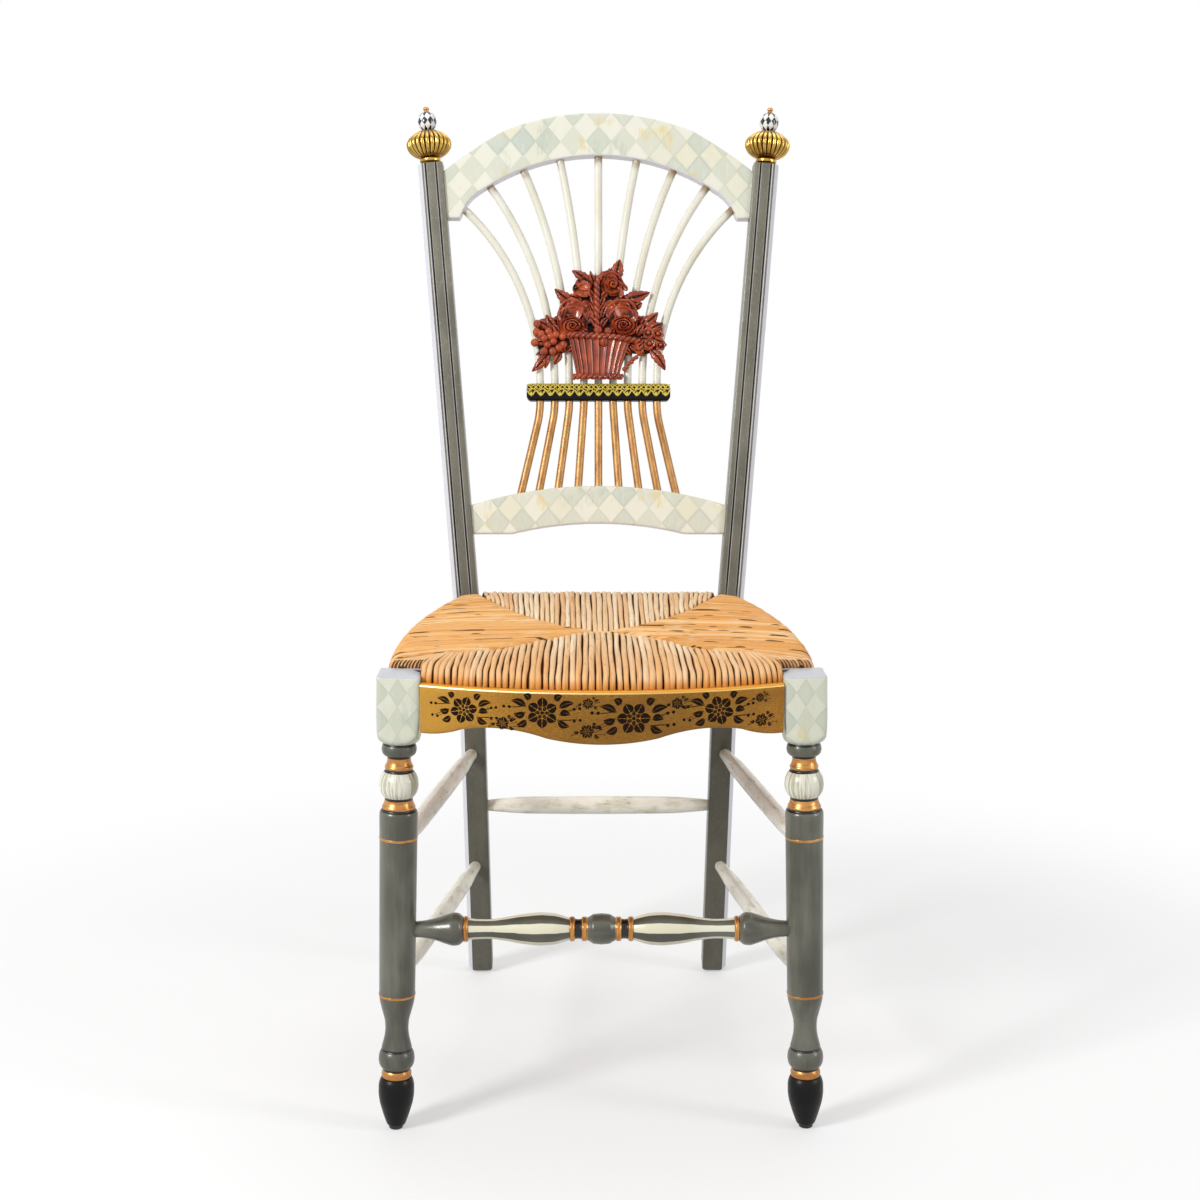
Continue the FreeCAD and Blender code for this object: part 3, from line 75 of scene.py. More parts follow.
def back_space(x, rise, out=0.0):
    """Points in the raked plane of the back: rise is measured up it, out in front of it."""
    x, rise, out = np.broadcast_arrays(x, rise, out)
    back = REAR_BEND_BACK + rise * math.sin(RAKE) - out * math.cos(RAKE)
    return chair_space(x, back, REAR_BEND_Z + rise * math.cos(RAKE) + out * math.sin(RAKE))


def on_back(grid):
    """Points given as (across, rise, out) in millimetres of the back's plane."""
    return back_space(*np.moveaxis(grid * MM, -1, 0))


def front_leg_axis(side, z):
    """The point of a leg's axis at a height; side is -1 for the left leg and 1 for the right."""
    return chair_space(side * (FRONT_FOOT_X + (FRONT_TOP_X - FRONT_FOOT_X) * z / LEG_TOP), 0.0, z)


def rear_leg_axis(side, z):
    """The same for a rear leg, as far up as its bend."""
    share = z / REAR_BEND_Z
    x = REAR_FOOT_X + (REAR_BEND_X - REAR_FOOT_X) * share
    return chair_space(side * x, REAR_FOOT_BACK + (REAR_BEND_BACK - REAR_FOOT_BACK) * share, z)


def post_x(rise):
    """How far a rear post's axis stands from the middle, at a rise up the back."""
    return REAR_BEND_X + (REAR_TOP_X - REAR_BEND_X) * rise / BACK_RISE


# Curves and grids, worked out as whole arrays

def flowing(points, steps=8):
    """A smooth line through points. Between two of them each coordinate is a Hermite cubic over
    chord length, whose end slopes are harmonic means of the slopes on both sides, or zero at a peak."""
    points = np.asarray(points, float)
    chord = np.linalg.norm(np.diff(points, axis=0), axis=1)[:, None]
    slope = np.diff(points, axis=0) / chord
    both = slope[1:] * slope[:-1]
    total = slope[1:] + slope[:-1]
    inner = np.where(both > 0, 2 * both / np.where(both > 0, total, 1.0), 0.0)
    tangent = np.vstack([slope[:1], inner, slope[-1:]])[:, None, :]
    t = (np.arange(steps) / steps)[None, :, None]
    first, last, chord = points[:-1, None, :], points[1:, None, :], chord[:, :, None]
    line = (
        (2 * t**3 - 3 * t**2 + 1) * first + (t**3 - 2 * t**2 + t) * chord * tangent[:-1]
        + (3 * t**2 - 2 * t**3) * last + (t**3 - t**2) * chord * tangent[1:]
    )
    return np.vstack([line.reshape(-1, points.shape[1]), points[-1:]])


def profile(*runs, steps=7):
    """Joins smooth runs of (height, radius) in millimetres, with a crease where two runs meet:
    each run goes on from the last point of the one before."""
    starts = [[], *([run[-1]] for run in runs)]
    whole = [start + run for start, run in zip(starts, runs)]
    return np.vstack([flowing(run, steps) if len(run) > 2 else run for run in whole]) * MM


def frame_along(path, up):
    """Unit vectors across and over a path: over is the part of up square to the path."""
    ahead = np.gradient(path, axis=-2)
    ahead /= np.linalg.norm(ahead, axis=-1, keepdims=True)
    over = up - (ahead * up).sum(-1, keepdims=True) * ahead
    over /= np.linalg.norm(over, axis=-1, keepdims=True)
    return np.cross(over, ahead), over


def tube(path, section, up):
    """Carries a section along a path. section holds (across, over) per step of the way round, for
    the whole path or for each of its points; the result is a grid of path by section."""
    across, over = (side[..., None, :] for side in frame_along(path, up))
    return path[..., None, :] + section[..., :1] * across + section[..., 1:] * over


def ring(count):
    """Places round a circle of radius 1, the last the same as the first."""
    return towards(np.linspace(0, TAU, count + 1), 1.0)


def spun(outline, start, end, around=56):
    """Spins (height, radius) points about the line from start to end: a point is start plus its
    height along the line plus its radius in the direction of each angle."""
    axis = (end - start) / np.linalg.norm(end - start)
    side = np.cross([0.0, 1.0, 0.0], axis)
    side /= np.linalg.norm(side)
    turn = ring(around)
    spoke = turn[:, :1] * side + turn[:, 1:] * np.cross(axis, side)
    return start + outline[:, None, :1] * axis + outline[:, None, 1:] * spoke[None]


def unrolled(lengths, around=56):
    """Texture places on a spun surface or a tube: turns round it, and lengths along it."""
    return np.stack(np.meshgrid(np.linspace(0, 1, around + 1), lengths), -1)


def travelled(line):
    """How far along a line each of its points lies."""
    return np.concatenate([[0], np.cumsum(np.linalg.norm(np.diff(line, axis=0), axis=1))])


def beside(run):
    """The unit vector to the left of a run in a plane, or of many."""
    run = np.asarray(run)
    return run[..., ::-1] * (-1, 1) / np.linalg.norm(run, axis=-1, keepdims=True)


def towards(angle, reach):
    """A place in a plane by its angle and its distance from the middle, or many."""
    return np.stack([np.cos(angle), np.sin(angle)], -1) * np.asarray(reach)[..., None]


def raised(flat, out):
    """Gives places in a plane their third part, how far out of it they are."""
    return np.concatenate([flat, np.broadcast_to(out, flat.shape[:-1])[..., None]], -1)


def closed_ends(grid):
    """Adds a row at each end of a grid, drawn together to that end's middle."""
    low, high = (
        np.repeat(grid[..., end, :-1, :].mean(-2, keepdims=True), grid.shape[-2], axis=-2)
        for end in (slice(None, 1), slice(-1, None))
    )
    return np.concatenate([low, grid, high], axis=-3)


class Shape:
    """One mesh gathered from grids of points, whose last two axes are its rows and columns."""

    def __init__(self):
        self.points, self.faces, self.marks, self.tones, self.finishes = [], [], [], [], []
        self.total = 0

    def add(self, grid, marks=0.0, tone=0.0, finish=0, closed=True):
        """Adds a grid with its texture places, tones and finishes, each given point by point or
        alike for all. A closed grid's end rows are drawn together by one more row each."""
        rows, shape = np.arange(grid.shape[-3]), grid.shape[:-1]
        if closed:
            grid, rows = closed_ends(grid), np.concatenate([rows[:1], rows, rows[-1:]])
        index = np.arange(self.total, self.total + grid[..., 0].size).reshape(grid.shape[:-1])
        corners = index[..., :-1, :-1], index[..., 1:, :-1], index[..., 1:, 1:], index[..., :-1, 1:]
        self.points.append(grid.reshape(-1, 3))
        self.faces.append(np.stack(corners, -1).reshape(-1, 4))
        self.marks.append(np.broadcast_to(marks, shape + (2,))[..., rows, :, :].reshape(-1, 2))
        self.tones.append(np.broadcast_to(tone, shape)[..., rows, :].reshape(-1))
        self.finishes.append(np.broadcast_to(finish, shape)[..., rows[1:], 1:].reshape(-1))
        self.total += grid[..., 0].size
        return self

    def piece(self, name, finishes, replaces, slot, crease=38):
        """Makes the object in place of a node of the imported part: doubles are merged, faces turned
        outwards and edges sharper than crease, in degrees, kept sharp."""
        points, faces = np.vstack(self.points), np.vstack(self.faces)
        mesh = bpy.data.meshes.new(name)
        mesh.from_pydata(points, [], faces)
        mesh.uv_layers.new(name="Surface").uv.foreach_set(
            "vector", np.vstack(self.marks)[faces.reshape(-1)].reshape(-1).astype(np.float32)
        )
        mesh.attributes.new("tone", "FLOAT", "POINT").data.foreach_set(
            "value", np.concatenate(self.tones).astype(np.float32)
        )
        mesh.polygons.foreach_set("material_index", np.concatenate(self.finishes).astype(np.int32))
        build = bmesh.new()
        build.from_mesh(mesh)
        bmesh.ops.remove_doubles(build, verts=build.verts, dist=WELD)
        bmesh.ops.recalc_face_normals(build, faces=build.faces)
        build.to_mesh(mesh)
        build.free()
        mesh.shade_smooth()
        mesh.set_sharp_from_angle(angle=math.radians(crease))
        for finish in finishes:
            mesh.materials.append(finish.material)
        made = bpy.data.objects.new(name, mesh)
        bpy.context.scene.collection.objects.link(made)
        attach(made, "root")
        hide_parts(replaces)


# Finishes: shader maths written as Python expressions

def tint(text):
    """A colour from its six hexadecimal digits, as the linear values that a shader takes."""
    values = [int(text[place:place + 2], 16) / 255 for place in (0, 2, 4)]
    linear = [v / 12.92 if v <= 0.04045 else ((v + 0.055) / 1.055) ** 2.4 for v in values]
    return (*linear, 1.0)


class Value:
    """A socket in a shader: the operators add Math nodes to it."""

    def __init__(self, tree, socket):
        self.tree, self.socket = tree, socket

    def math(self, operation, *others):
        return self.tree.sum(operation, self, *others)

    def __add__(self, other):
        return self.math("ADD", other)

    def __sub__(self, other):
        return self.math("SUBTRACT", other)

    def __rsub__(self, other):
        return self.tree.sum("SUBTRACT", other, self)

    def __mul__(self, other):
        return self.math("MULTIPLY", other)

    def __truediv__(self, other):
        return self.math("DIVIDE", other)

    __radd__, __rmul__ = __add__, __mul__

    def __gt__(self, other):
        return self.math("GREATER_THAN", other)

    def __lt__(self, other):
        return self.math("LESS_THAN", other)

    def __abs__(self):
        return self.math("ABSOLUTE")

    def between(self, low, high):
        return (self > low) * (self < high)

    def ramp(self, low, high):
        """0 below low, 1 above high, smooth between."""
        settings = {"interpolation_type": "SMOOTHSTEP"}
        return self.tree.node("ShaderNodeMapRange", settings, {0: self, 1: low, 2: high})

    def wash(self, mask, colour):
        """This colour, with another laid over it where the mask is 1."""
        return self.tree.mix(mask, self, colour)


class Tree:
    """A node tree, and the one way in which nodes are added to it."""

    def __init__(self, tree):
        self.nodes, self.links = tree.nodes, tree.links

    def node(self, kind, settings, sockets, output=0):
        """Adds a node and gives one of its outputs. Settings come first; "stops" are a ramp's, as
        (place, colour). A colour may be its six digits."""
        made = self.nodes.new(kind)
        for setting, value in settings.items():
            if setting == "stops":
                stops = made.color_ramp.elements
                while len(stops) < len(value):
                    stops.new(0.5)
                for stop, (place, colour) in zip(stops, value):
                    stop.position, stop.color = place, tint(colour)
            else:
                setattr(made, setting, value)
        for socket, value in sockets.items():
            if isinstance(value, Value):
                self.links.new(value.socket, made.inputs[socket])
            else:
                made.inputs[socket].default_value = tint(value) if isinstance(value, str) else value
        return Value(self, made.outputs[output]) if made.outputs else None

    def sum(self, operation, *terms):
        return self.node("ShaderNodeMath", {"operation": operation}, dict(enumerate(terms)))

    def mix(self, factor, first, second):
        return self.node("ShaderNodeMix", {"data_type": "RGBA"}, {0: factor, 6: first, 7: second}, 2)

    def seen(self):
        """1 for what the camera sees, straight or by way of gloss and glass; light is left as it is."""
        camera, gloss, glass = (
            self.node("ShaderNodeLightPath", {}, {}, f"Is {kind} Ray")
            for kind in ("Camera", "Glossy", "Transmission")
        )
        return camera.math("MAXIMUM", gloss).math("MAXIMUM", glass)


class Finish(Tree):
    """A material: a principled shader whose constants are set on its own sockets."""

    def __init__(self, name, constants):
        self.material = bpy.data.materials.new(name)
        self.material.use_nodes = True
        super().__init__(self.material.node_tree)
        self.shader = self.nodes["Principled BSDF"]
        for socket, value in constants.items():
            self.shader.inputs[socket].default_value = value
        self.place = self.node("ShaderNodeTexCoord", {}, {}, "Object")
        self.tone = self.node("ShaderNodeAttribute", {"attribute_name": "tone"}, {}, "Fac")

    def surface(self):
        """The piece's own two texture coordinates, such as turns round it and metres along it."""
        return self.parts(self.node("ShaderNodeUVMap", {"uv_map": "Surface"}, {}))[:2]

    def parts(self, vector):
        outputs = self.node("ShaderNodeSeparateXYZ", {}, {0: vector}).socket.node.outputs
        return [Value(self, output) for output in outputs]

    def vector(self, x, y, z=0.0):
        return self.node("ShaderNodeCombineXYZ", {}, {0: x, 1: y, 2: z})

    def noise(self, scale, detail=3.0, rough=0.55, stretch=None, place=None):
        """Noise from 0 to 1 at a place, the object's own unless one is given."""
        place = place or self.place
        if stretch is not None:
            place = self.node("ShaderNodeMapping", {}, {"Vector": place, "Scale": stretch})
        sockets = {"Vector": place, "Scale": scale, "Detail": detail, "Roughness": rough}
        return self.node("ShaderNodeTexNoise", {}, sockets)

    def brushed(self, colours, stretch, scale=60.0):
        """Paint laid on by a brush: two colours mixed by noise drawn out along the stroke."""
        broad, fine = self.noise(scale * 0.25, 2.0), self.noise(scale, 4.0, 0.6, stretch)
        return self.mix((fine * 0.6 + broad * 0.6).ramp(0.42, 0.78), *colours)

    def ramp(self, factor, *stops):
        return self.node("ShaderNodeValToRGB", {"stops": stops}, {0: factor})

    def link(self, values, relief, depth):
        """Feeds the shader's sockets. Relief is a height that counts in units of depth."""
        sockets = {"Height": relief, "Strength": 1.0, "Distance": depth}
        values["Normal"] = self.node("ShaderNodeBump", {}, sockets)
        for socket, value in values.items():
            self.links.new(value.socket, self.shader.inputs[socket])
        return self


GREY, GREY_DEEP = "6d6d60", "46463b"
CREAM, CREAM_WARM = "edebd8", "e4dfc2"
GOLD, GOLD_DEEP = "d19a57", "a3692f"
# Painted light: a pale lavender as shade on the rails' undersides, a grey lavender as a reflection on the
# blocks' tops
LAVENDER_UNDERSIDE_SHADE, BLOCK_TOP_SHEEN = "e4e5ee", "c3c5cb"
BLACK = "0a0909"
LACQUER = {"Coat Weight": 0.2, "Coat Roughness": 0.07, "Specular IOR Level": 0.5}
SOFT_GLOSS = {"Coat Weight": 0.2, "Coat Roughness": 0.12, "Specular IOR Level": 0.3}
NO_STROKE = (1.0, 1.0, 1.0)


def upright(length):
    """The stretch of a brush stroke that runs up the piece; less is longer."""
    return 1.0, 1.0, length


def crosswise(length):
    return length, 1.0, 1.0


LEG_BANDS = [
    (0.0, 57.4, "black"), (57.4, 65.8, "gold"), (65.8, 68.0, "black"), (87.6, 90.4, "black"),
    (147.2, 149.8, "gold"), (315.6, 318.2, "gold"), (345.4, 348.4, "black"), (348.4, 357.2, "gold"),
    (357.2, 360.2, "black"), (360.2, 386.4, "cream"), (386.4, 389.6, "black"), (389.6, 401.0, "gold"),
    (401.0, 404.2, "black"), (414.6, 420.0, "black"),
]


def banded_paint():
    """The turned legs: grey with bands by height, each with a slightly wandering edge. Black
    bands, the feet among them, have little of the clear coat."""
    finish = Finish("glazed_leg_paint", LACQUER)
    turns, height = finish.surface()
    height = height + (finish.noise(90.0, 2.0) * 0.0006 - 0.0003)
    streak = finish.noise(1.0, 4.0, 0.6, place=finish.vector(turns * 42.0, height * 20.0))
    fills = {
        "gold": finish.brushed((GOLD, GOLD_DEEP), upright(6.0), 120.0),
        "cream": finish.mix(streak.ramp(0.42, 0.62) * 0.9, "ebe9d8", "a5a286"),
        "black": BLACK,
    }
    colour = finish.brushed((GREY, GREY_DEEP), upright(0.12))
    share = dict.fromkeys(fills, height * 0.0)
    for low, high, kind in LEG_BANDS:
        mask = height.between(low * MM, high * MM)
        colour = colour.wash(mask, fills[kind])
        share[kind] = share[kind] + mask
    return finish.link({
        "Base Color": colour, "Coat Weight": 0.2 - share["black"] * 0.18, "Metallic": share["gold"] * 0.75,
        "Roughness": 0.26 + finish.noise(25.0) * 0.14,
    }, finish.noise(210.0, 2.0, 0.5, upright(0.25)), 0.00012)


def lozenges(name, across, tall, edge, sage):
    """Soft harlequin paint on the surface's own places: cool and warm pale lozenges with brush
    strokes and thin washes, of which sage says how much. A lozenge's kind is whether the whole
    parts of two slanting counts add up evenly. Where the tone is above 0 it is the colour of the
    edge, which is painted light: a reflection on a block's top, shade on a rail's underside; below
    0, straw."""
    finish = Finish(name, SOFT_GLOSS)
    x, z = finish.surface()
    drift = finish.noise(38.0, 2.0) * 0.12 - 0.06
    first, second = x / across + z / tall + drift, x / across - z / tall - drift
    row, column = first.math("FLOOR"), second.math("FLOOR")
    even = (row + column).math("PINGPONG", 1.0)
    place = finish.vector(row, column)
    chance = finish.node("ShaderNodeTexWhiteNoise", {"noise_dimensions": "2D"}, {0: place})
    stroke = finish.noise(330.0, 3.0, 0.6, upright(0.09))
    cool = finish.ramp(
        chance, (0.0, "d8dac9"), (0.3, "e0e0d0"), (0.55, "d0d5c5"), (0.8, "dbdccb"), (1.0, "c9d1c6")
    )
    warm = finish.ramp(chance, (0.0, "ecead9"), (0.5, "eeecde"), (0.8, "e8e6d3"), (1.0, "ebe5cc"))
    near = [0.5 - abs(line.math("FRACT") - 0.5) for line in (first, second)]
    rim = 1 - near[0].math("MINIMUM", near[1]).ramp(0.0, 0.10)
    blush = finish.noise(30.0, 2.0).ramp(0.62, 0.70) * stroke.ramp(0.40, 0.6)
    chill = finish.noise(19.0, 2.0, 0.5, (1.3, 0.8, 1.0)).ramp(0.64, 0.71) * stroke.ramp(0.4, 0.6)
    thin = finish.noise(60.0, 3.0, 0.6, upright(0.3)).ramp(0.2, 0.75) * 0.6 + 0.4
    colour = finish.mix((even + (stroke - 0.5) * 0.9).ramp(0.3, 0.7), warm, cool)
    # The wash to the edge colour by the tone is painted light: a reflection on a block's top, shade on a rail's
    # underside
    for mask, over in (
        (stroke.ramp(0.5, 0.8) * 0.5, "f1f0e6"), (rim * chance * 0.45, "aab2a4"), (blush * 0.6, "e6cc74"),
        (chill * 0.32, "9cb3ab"), (thin * sage, "b9c0a6"), (finish.tone.ramp(0.25, 0.8), edge),
        ((0 - finish.tone).ramp(0.3, 0.9) * 0.5, "cfc59a"),
    ):
        colour = colour.wash(mask, over)
    relief = stroke * 0.7 + rim * 0.3
    return finish.link({"Base Color": colour, "Roughness": 0.28 + stroke * 0.16}, relief, 0.00015)


def plain_paint(name, colours, specular=0.5, stretch=NO_STROKE):
    """Two near colours brushed together, with the brush's own fine relief."""
    finish = Finish(name, {"Specular IOR Level": specular})
    relief = finish.noise(230.0, 3.0, 0.6, stretch)
    return finish.link({
        "Base Color": finish.brushed(colours, stretch), "Roughness": 0.26 + finish.noise(30.0) * 0.14,
    }, relief, 0.00012)


def reeded_paint():
    """Glazed grey, drawn along the grain, with painted shade deeper low down; the tone paints shade in
    the grooves where it is below 0, and a pale highlight on the arris and groove lips above 0."""
    finish = Finish("glazed_post_paint", SOFT_GLOSS)
    grain = finish.noise(900.0, 2.0, 0.5, upright(0.03))
    high = finish.parts(finish.place)[2].ramp(0.35, 0.90)
    colour = finish.brushed(("827f71", "69665a"), upright(0.06)).wash(grain.ramp(0.56, 0.72) * 0.35, "b3b09f")
    # Painted shade: darker low down, and dark in the grooves where the tone is below 0
    colour = colour.wash((1 - high) * 0.6, "48463c").wash((0 - finish.tone).ramp(0.2, 0.9) * 0.92, "1b1914")
    # Painted highlight: a pale reflection on the arris and the groove lips where the tone is above 0
    colour = colour.wash(finish.tone.ramp(0.15, 0.75), finish.mix(grain, "e4e4ea", "d3d4dc"))
    return finish.link({"Base Color": colour, "Roughness": 0.28 + grain * 0.16}, grain, 0.0001)


leg_paint, post_paint = banded_paint(), reeded_paint()
block_paint = lozenges("harlequin_block_paint", 0.0217, 0.029, BLOCK_TOP_SHEEN, 0.42)
rail_paint = lozenges("harlequin_rail_paint", 0.030, 0.035, LAVENDER_UNDERSIDE_SHADE, 0.1)
black_paint = plain_paint("satin_black_paint", (BLACK, "121010"), 0.16, crosswise(0.2))
foot_paint = plain_paint("glossy_black_foot", (BLACK, "100e0e"), 0.2, upright(0.3))

# Front legs: a spun outline below, and a square block that a spun shoulder cuts into

LEG_OUTLINE = profile(
    [(5, 8.0), (5.2, 9.4), (6.5, 10.2)],
    [(14, 12.8), (22, 15.2), (32, 17.7), (41, 18.6), (48, 18.5), (53.5, 17.4), (57.2, 15.6)],
    [(57.4, 14.5)],
    [(58.6, 15.3), (61.2, 15.6), (64, 15.0), (66.2, 13.9)],
    [(67.3, 14.4), (69.5, 16.5), (73, 18.1), (77.5, 18.7), (82, 18.3), (86, 17.0), (88.6, 15.2)],
    [(89.8, 15.0), (90.4, 15.7)],
    [(96, 14.3), (104, 12.6), (111, 12.0), (119, 12.5), (128, 14.6), (137, 16.9), (143, 18.1), (147, 18.5)],
    [(147.5, 18.95), (149.6, 19.0), (150, 18.6)],
    [(315.4, 19.3)],
    [(315.9, 19.7), (317.9, 19.7), (318.4, 19.35)],
    [(338, 19.6), (342.5, 19.5), (345, 18.7), (346.4, 17.5)],
    [(347.4, 17.0)],
    [(349.4, 17.0), (352, 15.9), (355, 14.7), (357.6, 14.2)],
    [(359.2, 14.4)],
    [(362, 16.8), (366.5, 19.1), (372.5, 20.0), (378, 19.5), (382.5, 17.9), (386, 15.6), (387.4, 14.2)],
    [(388.8, 13.9)],
    [(391.3, 14.6), (394, 13.3), (398, 12.1), (401.8, 11.9)],
    [(402.4, 12.8)],
    [(403.8, 15.2), (406.2, 17.1), (409.5, 17.8), (413, 17.3), (416, 15.8)],
    [(417.2, 15.4), (419, 14.0)],
)
FOOT_TOP = 0.0575
BLOCK_CORNER, BLOCK_EDGE, BLOCK_CROWN = 0.0035, 0.0025, 0.0018
BLOCK_SIDE_TOP = 0.4862


def block_grid():
    """Rows up the block. A row is a square with round corners, as the level line of a high power
    norm; it is held inside the spun shoulder below, and over the top it is drawn in round an edge
    and then over a low crown."""
    turn = ring(96)
    power = 2.0 + 2.2 * BLOCK_HALF / BLOCK_CORNER
    square = BLOCK_HALF / (np.abs(turn) ** power).sum(-1) ** (1 / power)
    shoulder = flowing([(416.5, 14.5), (417, 17), (419, 20.5), (423, 25.5), (428, 29.5), (433, 31.5)], 5) * MM
    angle, share = np.linspace(0.15, math.pi / 2, 6), np.array([0.92, 0.8, 0.6, 0.35, 0.0])
    reach = np.vstack([
        (square ** -12 + shoulder[:, 1:] ** -12) ** (-1 / 12), np.tile(square, (4, 1)),
        square - BLOCK_EDGE * (1 - np.cos(angle))[:, None], (square - BLOCK_EDGE) * share[:, None],
    ])
    height = np.concatenate([
        shoulder[:, 0], [0.445, 0.460, 0.475, BLOCK_SIDE_TOP], BLOCK_SIDE_TOP + BLOCK_EDGE * np.sin(angle),
        BLOCK_SIDE_TOP + BLOCK_EDGE + BLOCK_CROWN * (1 - share ** 2),
    ])
    return np.concatenate([turn * reach[..., None], height[:, None, None] + 0 * reach[..., None]], -1)


def placed(grid, foot, top):
    """Stands a grid on a leaning axis."""
    axis = (top - foot) / np.linalg.norm(top - foot)
    side = np.array([1.0, 0.0, 0.0]) - axis[0] * axis
    side /= np.linalg.norm(side)
    return foot + grid[..., :1] * side + grid[..., 1:2] * np.cross(axis, side) + grid[..., 2:] * axis


def face_places(grid):
    """Texture places on a square block: the way round it, in metres, and the height."""
    angle = np.unwrap(np.arctan2(grid[..., 1], grid[..., 0]), axis=-1)
    return np.stack([angle / TAU * 8 * BLOCK_HALF, grid[..., 2] - LEG_TOP], -1)


for name, side in SIDES.items():
    foot, top = front_leg_axis(side, 0.0), front_leg_axis(side, LEG_TOP)
    marks, block = unrolled(LEG_OUTLINE[:, 0]), block_grid()
    paint = np.where(marks[..., 1] < FOOT_TOP, 2, 0)
    leg = Shape().add(spun(LEG_OUTLINE, foot, top), marks, finish=paint)
    # The crown, as the tone, paints the block's top in a pale painted reflection
    crown = np.clip((block[..., 2] - BLOCK_SIDE_TOP - 0.0001) / 0.0014, 0, 1)
    leg.add(placed(block, foot, top), face_places(block), crown, 1)
    leg.piece(f"turned_leg_{name}", [leg_paint, block_paint, foot_paint], f"front_leg_{name}", "leg_paint")

# Rear posts: a reeded section carried up the bent axis

REEDS_START, REEDS_RUN_OUT, FOOT_DRAWN_IN = 0.058, 0.012, 0.86
# Columns: across and out in millimetres, and the tone: painted shade in the grooves below 0, a painted highlight
# on the groove lips and the outer arris flat above 0
POST_SECTION = np.array([
    (-15, -11.5, 0), (-15, 0, 0), (-15, 11.8, 0), (-14.5, 13.3, 0), (-13.4, 13.9, 0), (-9.2, 14, 0),
    (-8.4, 13.9, 0.55), (-7.7, 12.9, -0.5), (-7.0, 12.2, -1), (-6.3, 12.9, -0.8), (-5.7, 13.9, 0.6),
    (-4.8, 14, 0), (0, 14, 0), (3.4, 14, 0), (4.1, 13.9, 0.5), (4.7, 12.9, -0.8), (5.4, 12.2, -1),
    (6.1, 12.9, -0.5), (6.8, 13.9, 0.7), (7.6, 14, 0.5), (8.4, 14, 0), (9.4, 14, -0.5), (9.9, 13.6, 0.4),
    (10.3, 13.0, 1), (14.6, 6.6, 1), (15, 5.6, 0.8), (15, 4, 0), (15, 0, 0), (15, -11.5, 0),
    (14.2, -13.4, 0), (12, -14, 0), (0, -14, 0), (-12, -14, 0), (-14.2, -13.4, 0), (-15, -11.5, 0),
])


def post_section(reeded, side):
    """The section for each step up a post, and its tone: half width 15 and half depth 14 mm, a
    groove each side of a flat reed as deep as reeded says, and a flat on the outer arris painted
    pale as a highlight; the tone also paints shade in the grooves."""
    across, out, tone = POST_SECTION.T
    groove = (np.abs(across) < 9) & (out > 12)
    reeded = reeded[:, None]
    out = np.where(groove, 14 + (out - 14) * reeded, out)
    across = np.broadcast_to(across * side, out.shape)
    return np.stack([across, out], -1) * MM, np.where(groove, tone * reeded, tone)


def post_path(side):
    """Straight leg, an arc about the bend and the straight back, as points."""
    foot, corner = rear_leg_axis(side, 0.0), rear_leg_axis(side, REAR_BEND_Z)
    top = back_space(side * post_x(BACK_RISE), BACK_RISE)
    first, second = corner - foot, top - corner
    first, second = first / np.linalg.norm(first), second / np.linalg.norm(second)
    turn = math.acos(float(first @ second))
    inward = second - first * (second @ first)
    inward /= np.linalg.norm(inward)
    reach = POST_BEND_RADIUS * math.tan(turn / 2)
    centre = corner - first * reach + inward * POST_BEND_RADIUS
    angle = np.linspace(0, turn, 14)[:, None]
    bend = centre + (first * np.sin(angle) - inward * np.cos(angle)) * POST_BEND_RADIUS
    low = foot + (bend[0] - foot) * np.array([0.0135, 0.0215, 0.12, 0.3, 0.5, 0.7, 0.88])[:, None]
    high = bend[-1] + (top - bend[-1]) * np.linspace(0, 1, 24)[1:, None]
    return np.vstack([low, bend, high])


for name, side in SIDES.items():
    path = post_path(side)
    rise = (path[:, 2] - REAR_BEND_Z) / math.cos(RAKE)
    across, over = frame_along(path, (0.0, -1.0, 0.0))
    section, tone = post_section(np.clip((rise - REEDS_START) / REEDS_RUN_OUT, 0, 1), side)
    section[0] *= FOOT_DRAWN_IN
    grid = path[:, None] - section[..., :1] * across[:, None] + section[..., 1:] * over[:, None]
    post = Shape().add(grid, unrolled(travelled(path), grid.shape[1] - 1), tone)
    post.piece(f"reeded_post_{name}", [post_paint], f"rear_post_{name}", "post_paint", crease=30)

# Stretchers

FRONT_STRETCHER_HALF = profile(
    [(-209, 6.3), (-194, 6.3)],
    [(-193.8, 7.6), (-182, 9.0), (-170, 11.6), (-160, 15.0), (-152, 17.0), (-147, 16.4), (-142.6, 13.4)],
    [(-141.8, 12.3)],
    [(-140.6, 13.2), (-138.4, 13.2), (-137.0, 12.2)],
    [(-136.6, 11.2)],
    [(-128, 10.2), (-117, 9.9), (-100, 11.8), (-80, 15.4), (-62, 17.0), (-50, 16.2), (-39, 13.4), (-33.0, 11.3)],
    [(-32.6, 12.0)],
    [(-31.4, 12.8), (-29.0, 12.8), (-27.6, 11.8)],
    [(-26.8, 10.4), (-23.8, 10.0), (-20.8, 10.4), (-20.2, 11.8)],
    [(-18.8, 12.6), (-16.2, 12.6), (-14.6, 11.6)],
    [(-12.0, 13.0), (-8.0, 15.2), (0.0, 16.0)],
)
FRONT_STRETCHER = np.vstack([FRONT_STRETCHER_HALF, FRONT_STRETCHER_HALF[-2::-1] * (-1, 1)])


STRIPE_PAIRS = 5.0


